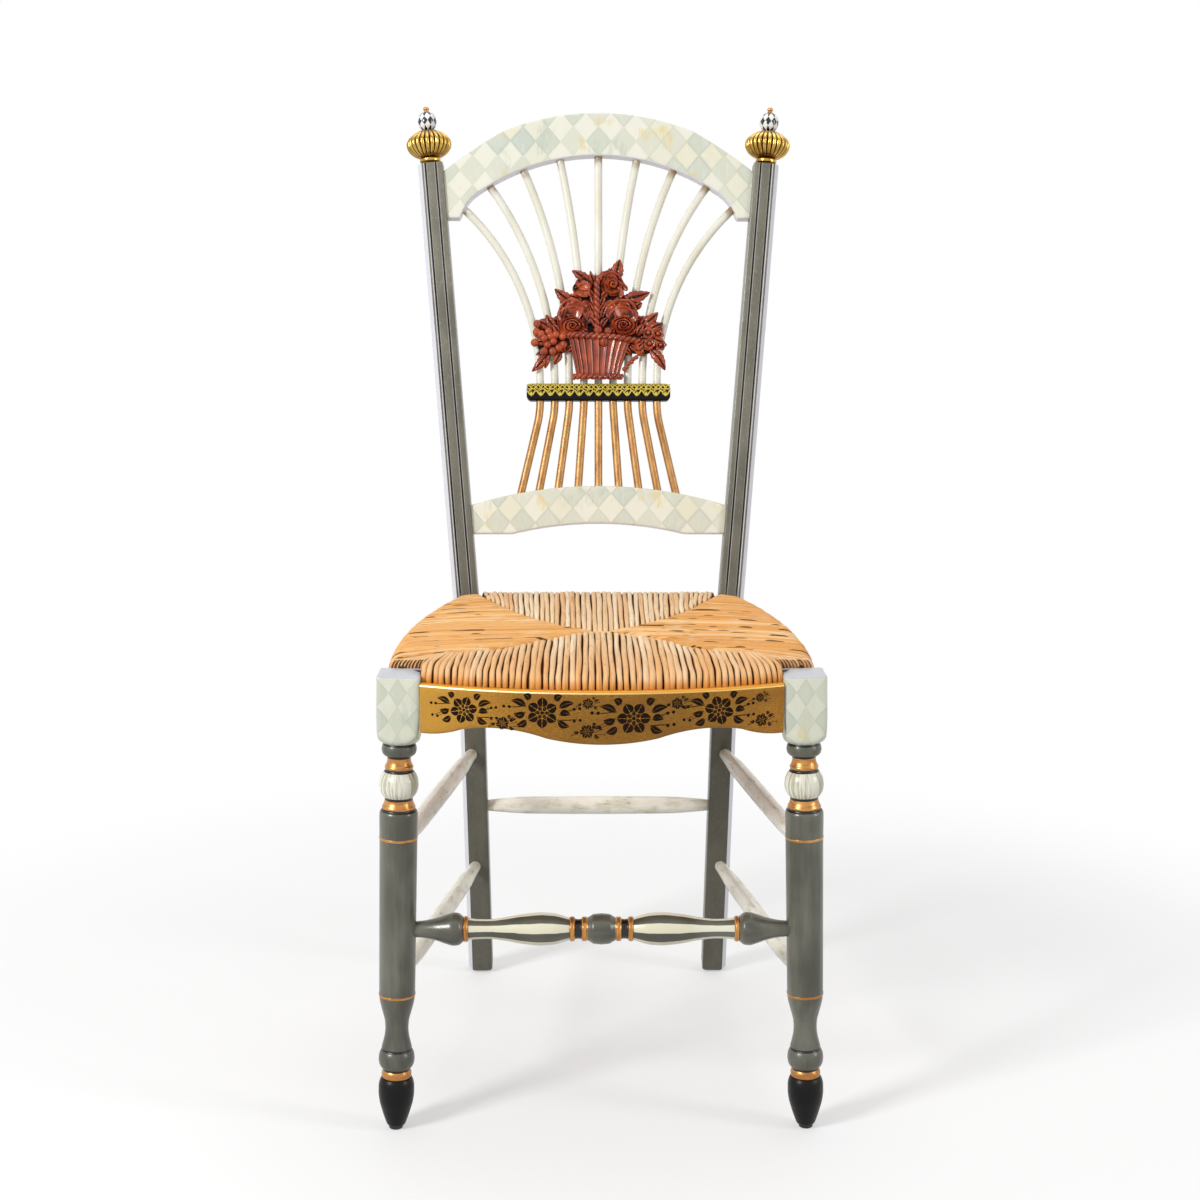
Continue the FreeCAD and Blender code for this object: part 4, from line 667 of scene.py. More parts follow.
def striped_paint():
    """The front stretcher: lengthwise stripes of cream and grey, grey ends and ball, and gold rings
    beside a black spacer, which has little of the clear coat."""
    finish = Finish("striped_stretcher_paint", LACQUER)
    turns, height = finish.surface()
    from_middle, wander = abs(height), finish.noise(60.0, 2.0) * 0.05 - 0.025
    stripe = (turns * STRIPE_PAIRS + 0.53 + wander * 1.4).math("FRACT") - 0.5
    rings = from_middle.between(0.0141, 0.0204) + from_middle.between(0.0274, 0.0330)
    rings, spacer = rings + from_middle.between(0.1366, 0.1420), from_middle.between(0.0203, 0.0276)
    grey = finish.brushed((GREY, GREY_DEEP), crosswise(0.12))
    cream = finish.brushed((CREAM, CREAM_WARM), crosswise(0.12))
    swelling = finish.mix((0.25 - abs(stripe)).ramp(-0.012, 0.012), cream, grey)
    colour = grey.wash(from_middle.between(0.0326, 0.1368), swelling).wash(spacer, BLACK)
    colour = colour.wash(rings, finish.brushed((GOLD, GOLD_DEEP), crosswise(6.0), 120.0))
    return finish.link({
        "Base Color": colour, "Coat Weight": 0.2 - spacer * 0.17, "Metallic": rings * 0.75,
        "Roughness": 0.24 + finish.noise(25.0) * 0.12,
    }, finish.noise(210.0, 2.0, 0.5, crosswise(0.25)), 0.00012)


def marbled_paint():
    """Cream paint with pale grey-green and straw washes drawn along the wood."""
    finish = Finish("marbled_stretcher_paint", SOFT_GLOSS)
    turns, height = finish.surface()
    veins = finish.noise(1.6, 5.0, 0.62, place=finish.vector(turns * 3.0, height * 16.0))
    fine = finish.noise(2.2, 4.0, 0.6, place=finish.vector(turns * 14.0, height * 22.0))
    colour = finish.mix(veins.ramp(0.46, 0.6), "f5f2e5", "e2decb")
    colour = colour.wash(veins.ramp(0.58, 0.66) * fine.ramp(0.4, 0.6) * 0.8, "a9a68c")
    colour = colour.wash(fine.ramp(0.60, 0.74) * 0.6, "c9b684")
    return finish.link({"Base Color": colour, "Roughness": 0.26 + fine * 0.14}, fine, 0.0001)


def stretcher(name, start, end, start_inset, end_inset, swell):
    """A turned stretcher between two points on leg axes, drawn in by an inset at each end. Its
    outline rises from the tenon to the full radius and back: half of it and its mirror."""
    run = (end - start) / np.linalg.norm(end - start)
    start, end = start + run * start_inset * MM, end - run * end_inset * MM
    length = np.linalg.norm(end - start) / MM
    half = [(0, 6.3), (15, 6.3), (16, 6.7), (length * 0.10, swell * 0.74), (length * 0.22, swell * 0.95)]
    whole = half + [(length / 2, swell)] + [(length - along, radius) for along, radius in half[::-1]]
    outline = flowing(whole, 7) * MM
    shape = Shape().add(spun(outline, start, end, 40), unrolled(outline[:, 0], 40))
    shape.piece(name + "_turned", [marbling], name, "marbled_paint")


stripes, marbling = striped_paint(), marbled_paint()
for name, side in SIDES.items():
    for level, front_z, rear_z in (("upper", 0.305, 0.305), ("lower", 0.163, 0.152)):
        ends = front_leg_axis(side, front_z), rear_leg_axis(side, rear_z)
        stretcher(f"side_stretcher_{level}_{name}", *ends, 5.0, -1.0, 10.0)
stretcher("rear_stretcher", rear_leg_axis(-1, 0.232), rear_leg_axis(1, 0.232), 0.0, 0.0, 11.0)
left, right = front_leg_axis(-1, 0.218), front_leg_axis(1, 0.218)
grid = spun(FRONT_STRETCHER, (left + right) / 2, right, 64)
Shape().add(grid, unrolled(FRONT_STRETCHER[:, 0], 64)).piece(
    "turned_front_stretcher", [stripes], "front_stretcher", "striped_paint"
)

# Crest rail and back rail: boards whose outlines run round a grid, edges rounded over


def section_columns():
    """The columns round a board's section, clockwise from the front: for each, the corner that it
    belongs to, as shares of half the height and half the depth, and its place on that corner's
    circle of radius 1."""
    quarter, face = np.linspace(0, math.pi / 2, 6), np.linspace(-1, 1, 9)[1:-1]
    columns = []
    for number, (over, out) in enumerate(((1, 1), (1, -1), (-1, -1), (-1, 1))):
        angle = quarter + number * math.pi / 2
        columns.append(np.stack(np.broadcast_arrays(over, out, np.sin(angle), np.cos(angle)), -1))
        if number % 2:
            columns.append(np.stack(np.broadcast_arrays(-over * face, out, 0.0, out), -1))
    return np.vstack([*columns, columns[0][:1]]).T


def board(low, high, thickness, edge=2.2):
    """A board between two curves of a plane, low and high, given point for point in millimetres.
    Its section is a rounded rectangle: columns go round it, rows along the board. Gives the places
    in the plane, the depth of each column out of it, and a tone: 1 on the lower edge, -1 on the
    upper and 0 on the faces."""
    middle, half = (low + high) / 2, (high - low) / 2
    tall = np.linalg.norm(half, axis=1, keepdims=True)
    over, out, round_over, round_out = section_columns()
    reach = over * (tall - edge) + round_over * edge
    flat = middle[:, None] + (half / tall)[:, None] * reach[..., None]
    return flat, out * (thickness / 2 - edge) + round_out * edge, -round_over


def arc_between(first, middle, last, count):
    """Points on the circle through three points of the plane."""
    first, middle, last = (np.asarray(p, float) for p in (first, middle, last))
    matrix = 2 * np.array([middle - first, last - first])
    centre = np.linalg.solve(matrix, [middle @ middle - first @ first, last @ last - first @ first])
    angles = np.unwrap([math.atan2(*(p - centre)[::-1]) for p in (first, middle, last)])
    radius = np.linalg.norm(first - centre)
    angle = np.linspace(angles[0], angles[2], count)
    return centre + radius * np.stack([np.cos(angle), np.sin(angle)], -1)


def even(points, count):
    """The same line, cut at equal steps."""
    length = travelled(points)
    at = np.linspace(0, length[-1], count)
    return np.stack([np.interp(at, length, column) for column in points.T], -1)


def inner_face(rise):
    """How far the posts' inner faces stand from the middle, both in millimetres."""
    lean = math.sqrt(1 + ((REAR_TOP_X - REAR_BEND_X) / BACK_RISE) ** 2)
    return post_x(rise * MM) / MM - 15.0 * lean - 0.1


def crest_lines():
    """The crest's lower and upper lines, from left to right, as arcs and straight ends."""
    base, shoulder, top, under = 520.5, 576.5, 647.0, 596.0
    reach = inner_face(shoulder)
    arch = top - shoulder
    knuckle = (reach * 0.615, shoulder + arch * 0.685)
    slope = (reach * 0.80, shoulder + arch * 0.385)
    high = np.vstack([
        arc_between((-reach, shoulder), (-slope[0], slope[1]), (-knuckle[0], knuckle[1]), 12)[:-1],
        arc_between((-knuckle[0], knuckle[1]), (0, top), knuckle, 40)[:-1],
        arc_between(knuckle, slope, (reach, shoulder), 12),
    ])
    reach = inner_face(base)
    drop = under - base
    corner = (reach * 0.917, base)
    knee = (reach * 0.878, base + drop * 0.205)
    spring = (reach * 0.811, base + drop * 0.381)
    low = np.vstack([
        [(-reach, base), (-corner[0], base)],
        arc_between((-corner[0], base), (-knee[0], knee[1]), (-spring[0], spring[1]), 10)[1:-1],
        arc_between((-spring[0], spring[1]), (0, under), spring, 40)[:-1],
        arc_between(spring, knee, corner, 10)[:-1],
        [corner, (reach, base)],
    ])
    return low, high


def painted_board(name, low, high, count, replaces, slot):
    """A board with as many points on both lines, each cut at equal steps of its own length."""
    flat, depth, tone = board(even(low, count), even(high, count), 20.0)
    Shape().add(on_back(raised(flat, depth)), flat * MM, tone).piece(name, [rail_paint], replaces, slot, 50)


CREST_LOW, CREST_HIGH = crest_lines()
painted_board("painted_crest", CREST_LOW, CREST_HIGH, 120, "crest_rail", "crest_paint")

RAIL_LOW, RAIL_SHOULDER, RAIL_TOP, RAIL_UNDER = 144.4, 178.4, 201.4, 156.9
low_reach, high_reach = inner_face(RAIL_LOW), inner_face(RAIL_SHOULDER)
flat_end = low_reach * 0.69
RAIL_HIGH_LINE = arc_between((-high_reach, RAIL_SHOULDER), (0, RAIL_TOP), (high_reach, RAIL_SHOULDER), 60)
rail_low_line = np.vstack([
    [(-low_reach, RAIL_LOW), (-flat_end, RAIL_LOW)],
    arc_between((-flat_end, RAIL_LOW), (0, RAIL_UNDER), (flat_end, RAIL_LOW), 40)[1:-1],
    [(flat_end, RAIL_LOW), (low_reach, RAIL_LOW)],
])
painted_board("painted_back_rail", rail_low_line, RAIL_HIGH_LINE, 90, "back_rail", "back_rail_paint")

# Spindles

SPINDLE_FOOT = np.array([0.0, 0.262, 0.518, 0.764, 1.0]) * 92.3
SPINDLE_TOP = np.array([0.0, 0.255, 0.497, 0.720, 0.889]) * 179.93
WAIST_SPACING, WAIST_LOW, WAIST_HIGH, LOWER_BEND = 17.4, 303.0, 323.6, 120.0
TENON = 11
COPPER_TOP = 0.306


def spindle_path(index):
    """From the back rail up: straight, an arc to the upright waist, and one arc to the crest. Each
    arc touches its straight run; the upper one's radius follows from its rise and its reach."""
    share = abs(index)
    waist, foot_x, top_x = share * WAIST_SPACING, SPINDLE_FOOT[share], SPINDLE_TOP[share]
    foot_rise = np.interp(foot_x, *RAIL_HIGH_LINE.T)
    top_rise = np.interp(top_x, *CREST_LOW[CREST_LOW[:, 0] >= -0.01].T)
    if share == 0:
        stops = foot_rise - TENON, foot_rise, WAIST_LOW, WAIST_HIGH, top_rise, top_rise + TENON
        return np.array([(0.0, rise) for rise in stops])
    to_foot = np.array([foot_x - waist - LOWER_BEND, foot_rise - WAIST_LOW])
    touch = math.atan2(to_foot[1], to_foot[0]) - math.acos(LOWER_BEND / np.linalg.norm(to_foot))
    lower = abs(math.pi - touch % TAU)
    out, up = top_x - waist, top_rise - WAIST_HIGH
    sweep = (out ** 2 + up ** 2) / (2 * out)
    upper = math.asin(up / sweep)
    under, over = (
        np.stack([waist + radius - radius * np.cos(turned), start + sign * radius * np.sin(turned)], -1)
        for radius, start, sign, turned in (
            (LOWER_BEND, WAIST_LOW, -1, np.linspace(lower, 0, 9)),
            (sweep, WAIST_HIGH, 1, np.linspace(0, upper, 26)),
        )
    )
    foot, ahead = np.array([foot_x, foot_rise]), np.array([math.sin(upper), math.cos(upper)])
    before = np.array([math.sin(lower), -math.cos(lower)])
    line = np.vstack([foot + before * TENON, foot, under, over, over[-1] + ahead * TENON])
    return line * (math.copysign(1, index), 1)


def spindle_paint():
    """Cream above the waist, crackled copper gold below it, and a patchy warm brown where it enters
    the crest. The places are metres from the crest and metres up the back."""
    finish = Finish("spindle_paint", SOFT_GLOSS)
    from_crest, rise = finish.surface()
    crest_end_brown = (1 - from_crest.ramp(0.012, 0.026)) * finish.noise(70.0).ramp(0.3, 0.55)
    cream = finish.brushed(("ebe9dc", "e0dcc9"), upright(0.1)).wash(crest_end_brown * 0.9, "8a6838")
    copper = finish.mix(finish.noise(150.0, 4.0, 0.6, upright(0.3)).ramp(0.3, 0.75), "bf9058", "946736")
    below, grain = rise < COPPER_TOP, finish.noise(420.0, 3.0, 0.6, upright(0.4))
    return finish.link({
        "Base Color": cream.wash(below, copper), "Metallic": below * 0.6,
        "Roughness": 0.34 + finish.noise(180.0) * 0.2,
    }, grain * below * 0.5 + grain * 0.12, 0.0003)


spindle_finish = spindle_paint()
for number in range(9):
    line = spindle_path(number - 4) * MM
    marks = np.stack([travelled(line[::-1])[::-1], line[:, 1]], -1)[:, None]
    grid = tube(back_space(line[:, 0], line[:, 1]), ring(20) * 4.7 * MM, (0.0, -1.0, 0.0))
    Shape().add(grid, marks).piece(
        f"bent_spindle_{number + 1}", [spindle_finish], f"spindle_{number + 1}", "spindle_paint"
    )

# Finials: collar, fluted melon, ball and cap on each post's axis, and the glides under the feet


def metal(name, colours, roughness):
    """Polished metal; the tone is painted shade, dark in its hollows."""
    finish = Finish(name, {"Metallic": 1.0})
    colour = finish.brushed(colours, upright(0.4), 120.0).wash(finish.tone.ramp(0.1, 0.75), "1c0f04")
    roughness = roughness + finish.noise(60.0) * roughness
    return finish.link({"Base Color": colour, "Roughness": roughness}, finish.noise(300.0, 2.0), 0.0001)


def ball_harlequin():
    """Black and white lozenges round the ball, under a clear glaze."""
    finish = Finish("harlequin_ball_paint", {"Roughness": 0.2, "Coat Weight": 0.3, "Coat Roughness": 0.06})
    turns, height = finish.surface()
    across, up = turns * 9.0 + finish.noise(90.0, 2.0) * 0.12, height / 0.0105
    kind = ((across + up).math("FLOOR") + (across - up).math("FLOOR")).math("PINGPONG", 1.0)
    return finish.link({"Base Color": finish.mix(kind, "101014", "eeeff0")}, finish.noise(200.0, 2.0), 0.0001)


MELON_LOBES = 26
COLLAR = profile(
    [(0, 9.0), (1.4, 9.8), (2.6, 11.4), (3.2, 12.3)], [(5.0, 12.6), (6.4, 12.3)], [(7.4, 10.6)]
)
MELON = profile([
    (0.3, 9.5), (1.6, 14.5), (4.5, 19.8), (9.0, 24.2), (14.0, 26.5), (18.0, 26.8), (22.5, 25.0), (27.0, 20.6),
    (30.4, 15.6), (32.4, 11.2), (33.0, 9.0),
], steps=4)
BALL = profile([
    (0.1, 4.0), (0.5, 5.6), (2.6, 8.3), (6.0, 10.4), (10.8, 11.2), (15.6, 10.5), (19.4, 8.2), (21.6, 5.4),
    (22.1, 3.8),
], steps=4)
CAP = profile(
    [(0, 3.0), (0.3, 3.3), (1.6, 2.9), (2.4, 2.6)], [(3.0, 3.3), (4.3, 3.6), (5.8, 3.0), (6.8, 1.5), (7.0, 0.4)]
)
FRONT_GLIDE = profile([(0, 5.8), (0.4, 6.6), (1.3, 7.4), (2.5, 7.5)], [(4.9, 7.5)])
REAR_GLIDE = profile([(0, 5.4), (0.4, 6.2), (1.4, 6.9), (3.0, 7.0)], [(5.9, 7.0)])
brass = metal("polished_brass", ("dcb862", "a8803a"), 0.15)
ball_paint = ball_harlequin()
copper = metal("copper_gilt_cap", ("e0b27c", "b5793f"), 0.16)
brown_glide = plain_paint("brown_glide", ("2c1d15", "201510"))
black_glide = plain_paint("black_glide", (BLACK, "1b1a1a"))


def on_post(base):
    """The axis of a post, from base millimetres up the back."""
    return lambda side: [back_space(side * post_x(rise * MM), rise * MM) for rise in (base, base + 100)]


def on_floor(leg_axis):
    return lambda side: (leg_axis(side, 0.0), leg_axis(side, 0.0) + (0, 0, 1.0))


def turned_pair(name, outline, axis, finish, replaces, slot, around=48, lobes=0, crease=38):
    """A turned part on both sides of the chair. Lobes flute it: between two of them the radius
    dips by a tenth, and the tone, the dip, paints shade there."""
    shape, angle = Shape(), np.linspace(0, TAU, around + 1)
    dip = 1 - np.abs(np.sin(lobes / 2 * angle)) ** 0.75 if lobes else 0 * angle
    for side in SIDES.values():
        grid, centre = (spun(line, *axis(side), around) for line in (outline, outline * (1, 0)))
        grid = centre + (grid - centre) * (1 - 0.10 * dip)[:, None]
        shape.add(grid, unrolled(outline[:, 0], around), dip ** 1.4)
    shape.piece(name, [finish], replaces, slot, crease)


turned_pair("turned_collars", COLLAR, on_post(586.1), brass, "finial_collars", "polished_brass")
turned_pair(
    "fluted_melons", MELON, on_post(593.7), brass, "finial_melons", "polished_brass",
    MELON_LOBES * 8, MELON_LOBES, 70,
)
turned_pair("painted_balls", BALL, on_post(626.8), ball_paint, "finial_balls", "ball_paint")
turned_pair("gilt_caps", CAP, on_post(649.1), copper, "finial_caps", "cap_paint")
turned_pair(
    "front_glide_pads", FRONT_GLIDE, on_floor(front_leg_axis), brown_glide, "front_glides", "brown_glide", 32
)
turned_pair(
    "rear_glide_pads", REAR_GLIDE, on_floor(rear_leg_axis), black_glide, "rear_glides", "black_glide", 32
)

# Waist bar and its gimp braid

BAR_RISE, BAR_HALF, BAR_THICKNESS = 313.3, 10.3, 17.0
bar_end = [80.4, 82.6, 84.2, 85.2, 85.5]
bar_x = np.concatenate([np.negative(bar_end[::-1]), np.linspace(-78, 78, 12), bar_end])
bar_half = BAR_HALF - 4.6 * np.clip((np.abs(bar_x) - 80) / 5.5, 0, 1) ** 2.5
low, high = (np.stack([bar_x, BAR_RISE + sign * bar_half], -1) for sign in (-1, 1))
flat, depth, tone = board(low, high, BAR_THICKNESS, 3.5)
Shape().add(on_back(raised(flat, depth)), flat * MM).piece(
    "satin_waist_bar", [black_paint], "waist_bar", "black_paint"
)


def gimp_thread():
    """Gold thread: light and dark lines, a painted highlight and painted shade, wind along each cord."""
    finish = Finish("gold_gimp_thread", {"Metallic": 0.2, "Roughness": 0.4, "Specular IOR Level": 0.4})
    turns, run = finish.surface()
    twist = (turns * TAU + run * 3800.0).math("SINE") * 0.5 + 0.5
    return finish.link({"Base Color": finish.mix(twist, "9a7c10", "f2e068")}, twist, 0.0003)


def cord(shape, x, rise, out, radius):
    """A round cord over the plane of the back, all given in millimetres, as a tube."""
    path = back_space(x * MM, rise * MM, out * MM)
    shape.add(tube(path, ring(8) * radius * MM, (0.0, -1.0, 0.15)), unrolled(travelled(path), 8))


SCALLOP, PICOT = 11.4, 4.2
braid = Shape()
x = np.linspace(-85.0, 85.0, 750)
for step, (rise, swing, radius) in enumerate([(318.6, 2.2, 0.85), (318.6, -2.2, 0.85), (315.4, 1.9, 0.8)]):
    wave = TAU * x / SCALLOP + step * 0.25
    cord(braid, x, rise + swing * np.sin(wave), 9.9 + 0.6 * np.cos(wave), radius)
festoon = np.abs(np.cos(math.pi * x / SCALLOP)) ** 1.7
cord(braid, x, 314.8 - 5.8 * festoon, 9.8 + 0.4 * festoon, 1.0)
cord(braid, x, 321.8 + 0.45 * np.sin(TAU * x / PICOT), 9.6 + 0.4 * np.cos(TAU * x / PICOT), 0.62)
t = np.linspace(0, math.pi, 8)[:, None]
knot = np.concatenate([np.sin(t)[..., None] * ring(12), (np.cos(t) + np.zeros(13))[..., None]], -1)
for x_knot in np.arange(-7, 8) * SCALLOP:
    for size, rise in (((1.7, 2.4, 1.3), 311.4), ((1.5, 1.0, 1.2), 315.8)):
        marks = unrolled(np.linspace(0, 0.004, 8), 12)
        braid.add(on_back(knot * size + (x_knot, rise, 9.6)), marks, closed=False)
braid.piece("gimp_braid", [gimp_thread()], "waist_braid", "gold_braid")

# Flower basket: leaves, roses, grapes and blossoms over a ribbed basket with rope rims. The tone
# # is painted shade, how dark a hollow is painted; below 0 it is a painted highlight on a ridge.


def carved(shape, grid, shade, closed=True):
    """Adds a grid given as (across, rise, out) in the back's plane, with its shade as the tone."""
    shape.add(on_back(grid), 0.0, np.clip(shade, -1, 1), closed=closed)


def leaf(shape, stem, tip, width, out, bend, lift=2.5):
    """A toothed leaf: its middle runs from stem to tip, bowed by bend; its half width follows a
    sine of the way along, notched by teeth; its face swells, with a groove at the midrib."""
    run, teeth, t = np.subtract(tip, stem), 5, np.linspace(0, 1, 21)[:, None]
    across, over = ring(24).T
    half = width / 2 * np.sin(math.pi * t ** 0.75) ** 0.8
    half = half * (1 - 0.16 * (1 - np.abs(np.sin(math.pi * teeth * t)))) + 0.35
    rib = 0.5 * np.exp(-((across / 0.16) ** 2)) * (over > 0)
    veins = 0.14 * np.cos(TAU * (teeth * t - 0.9 * np.abs(across))) * (over > 0)
    swell = np.where(over > 0, 3.2, 1.2) * np.sin(math.pi * (t * 0.96 + 0.02)) ** 0.5
    middle = stem + run * t + beside(run) * bend * np.sin(math.pi * t)
    flat = middle[:, None] + beside(run) * (half * across)[..., None]
    face = out + lift * np.sin(math.pi * t * 0.9) + swell * over * (1 - rib - veins)
    # Painted shade along the midrib, the veins and the edge
    carved(shape, raised(flat, face), rib * 1.7 + np.abs(veins) * 2.4 + 0.9 * (np.abs(across) > 0.9))


def rose(shape, centre, radius, out, depth, turns, tilt, squash=1.0):
    """The heart of a rose: a dome in polar steps whose height has a spiral saw tooth, one tooth
    for each turn of petals, broken where one petal ends over the next; a rim below closes it."""
    t, angle = np.linspace(0, 1, 48)[:, None], np.linspace(0, TAU, 61)
    lapped = (2.5 * angle / TAU + 1.7 * t) % 1.0
    waved = t + 0.07 * lapped ** 3 + 0.02 * np.sin(3 * angle + 9 * t)
    tooth = (turns * np.clip(waved, 0, None) ** 0.85 - angle / TAU) % 1.0
    edge = radius * t * (1 + 0.06 * np.sin(5 * angle + 1.0) * t)
    height = depth * (1 - 0.8 * t ** 2.2 - 0.42 * tooth ** 2.2 - 0.7 * np.clip(1 - t / 0.16, 0, 1))
    height = out + height + t * radius * (ring(60) @ tilt)
    top = raised(centre + edge[..., None] * ring(60) * (1, squash), height)
    base = top[-1:] * (1, 1, 0) + (0, 0, out - 1.5)
    # Painted shade in the gaps between the petals and at the heart
    shade = np.clip((tooth - 0.6) / 0.3, 0, 1) + np.clip(1 - t / 0.12, 0, 1)
    carved(shape, np.concatenate([top, base]), np.vstack([shade, np.ones((1, 61))]))


def petal(shape, stem, tip, width, out, cup):
    """A broad petal: a thin dished sheet with ripples, whose outer lip rolls forward and over."""
    run, t = np.subtract(tip, stem), np.linspace(0, 1, 17)[:, None]
    across, over = ring(22).T
    half = width / 2 * np.sin(math.pi * (0.1 + 0.87 * t)) ** 0.55
    lip = cup * (across ** 2 * 0.8 + 1.25 * t ** 2 - 0.9 * np.clip((t - 0.82) / 0.18, 0, 1) ** 2)
    ripple = 0.5 * np.sin(5 * across + 4 * t + stem[0]) * t
    flat = (stem + run * t)[:, None] + beside(run) * (half * across)[..., None]
    # Painted shade at the petal's base, its edge and down its middle
    shade = np.clip(1 - t * 1.8, 0, 1) * 0.9 + 0.6 * (np.abs(across) > 0.97)
    shade = shade + np.clip(0.35 - np.abs(across), 0, 1) * np.clip(1 - t * 1.3, 0, 1)
    shape.add(on_back(raised(flat, out + lip + ripple + over)), 0.0, shade)


def petal_ring(shape, centre, reach, count, start, out, cup):
    """Cupped petals set round a centre, each from 0.35 of the reach to the whole of it."""
    for step in range(count):
        ahead = towards(start + TAU * step / count, reach) * (1, 0.85)
        petal(shape, centre + 0.35 * ahead, centre + ahead, reach * 5.6 / count, out, cup)


def berry(shape, centre, radius, out, tall=1.0):
    """A round berry with a soft shade round its foot."""
    t = np.linspace(0, math.pi, 13)[:, None]
    flat = centre + radius * np.sin(t)[..., None] * ring(18) * (1, tall)
    carved(shape, raised(flat, out + radius * np.cos(t)), (t - 1.1).clip(0) / 0.7, closed=False)


def blossom(shape, centre, radius, turned):
    """Five small cupped petals round a berry."""
    for step in range(5):
        ahead = towards(turned + TAU * step / 5, radius)
        petal(shape, centre + ahead * 0.15, centre + ahead, radius * 0.95, 10.5, 1.6)
    berry(shape, centre, radius * 0.34, 13.5)


def fold(shape, points, radius):
    """The rolled edge of a petal: a smooth roll along a line of points, tapering to both ends."""
    line = flowing(points, 9)
    taper = np.sin(math.pi * np.linspace(0.04, 0.96, len(line))) ** 0.6
    shape.add(tube(on_back(line), ring(14) * radius * MM * taper[:, None, None], (0.0, -1.0, 0.2)))


def rope(shape, points, radius, lay):
    """A laid rope along a smooth line: its radius has two rounded strands that turn with the
    length, one turn for each lay."""
    line = flowing(points, 16)
    length = travelled(line)[-1]
    steps = int(length / 0.55)
    strand = np.abs(np.cos(np.linspace(0, TAU, 25) + math.pi / lay * np.linspace(0, length, steps)[:, None]))
    section = ring(24) * (radius * (0.60 + 0.42 * strand ** 0.7))[..., None] * MM
    grid = tube(on_back(even(line, steps)), section, (0.0, -1.0, 0.2))
    # Painted shade between the rope's strands
    shape.add(grid, 0.0, np.clip(1 - strand * 2.4, 0, 1))


def basket_body(shape):
    """Rows up the basket: half ellipses that widen to the rim, each pleated into ribs whose edges
    stand sharp; the back is flat."""
    t, angle = np.linspace(0, 1, 24)[:, None], np.linspace(0, math.pi, 221)
    pleat = 1 - np.abs(np.sin(12 * angle)) ** 0.8
    reach = np.where(np.cos(angle) > 0, 25.0 + 15.0 * t ** 1.35, 26.5 + 9.5 * t ** 1.25)
    x = reach * np.cos(angle) * (0.965 + 0.035 * pleat)
    out = 6.0 + (10.5 + 3.5 * t) * np.sin(angle) ** 0.6 * (0.84 + 0.16 * pleat)
    front = np.stack([x, 332.0 + 44.0 * t + 0 * x, out], -1)
    back = front[:, ::-44] * (1, 1, 0) + (0, 0, 5.2)
    # Painted shade beside each rib's edge, and below 0 a painted highlight on the ridge
    dark = np.clip(1 - np.abs(angle * 12 / math.pi % 1 - 0.82) / 0.15, 0, 1)
    shade = np.append(0.95 * dark - 0.9 * np.clip(pleat * 2.5 - 1.3, 0, 1), np.zeros(back.shape[1] + 1))
    carved(shape, np.concatenate([front, back, front[:, :1]], axis=1), shade)


def ground(shape, outline, centre, out):
    """The carved ground behind the flowers, painted dark all over as shade: rows shrink the outline
    to its centre, and the face swells a little between them."""
    t = np.linspace(0.04, 1, 10)[:, None]
    flat = centre + (flowing(outline, 4) - centre) * t[..., None]
    front = raised(flat, out + 2.0 * (1 - t ** 4))
    carved(shape, np.concatenate([front, front[::-3] * (1, 1, 0) + (0, 0, out - 1.5)]), 1.0)


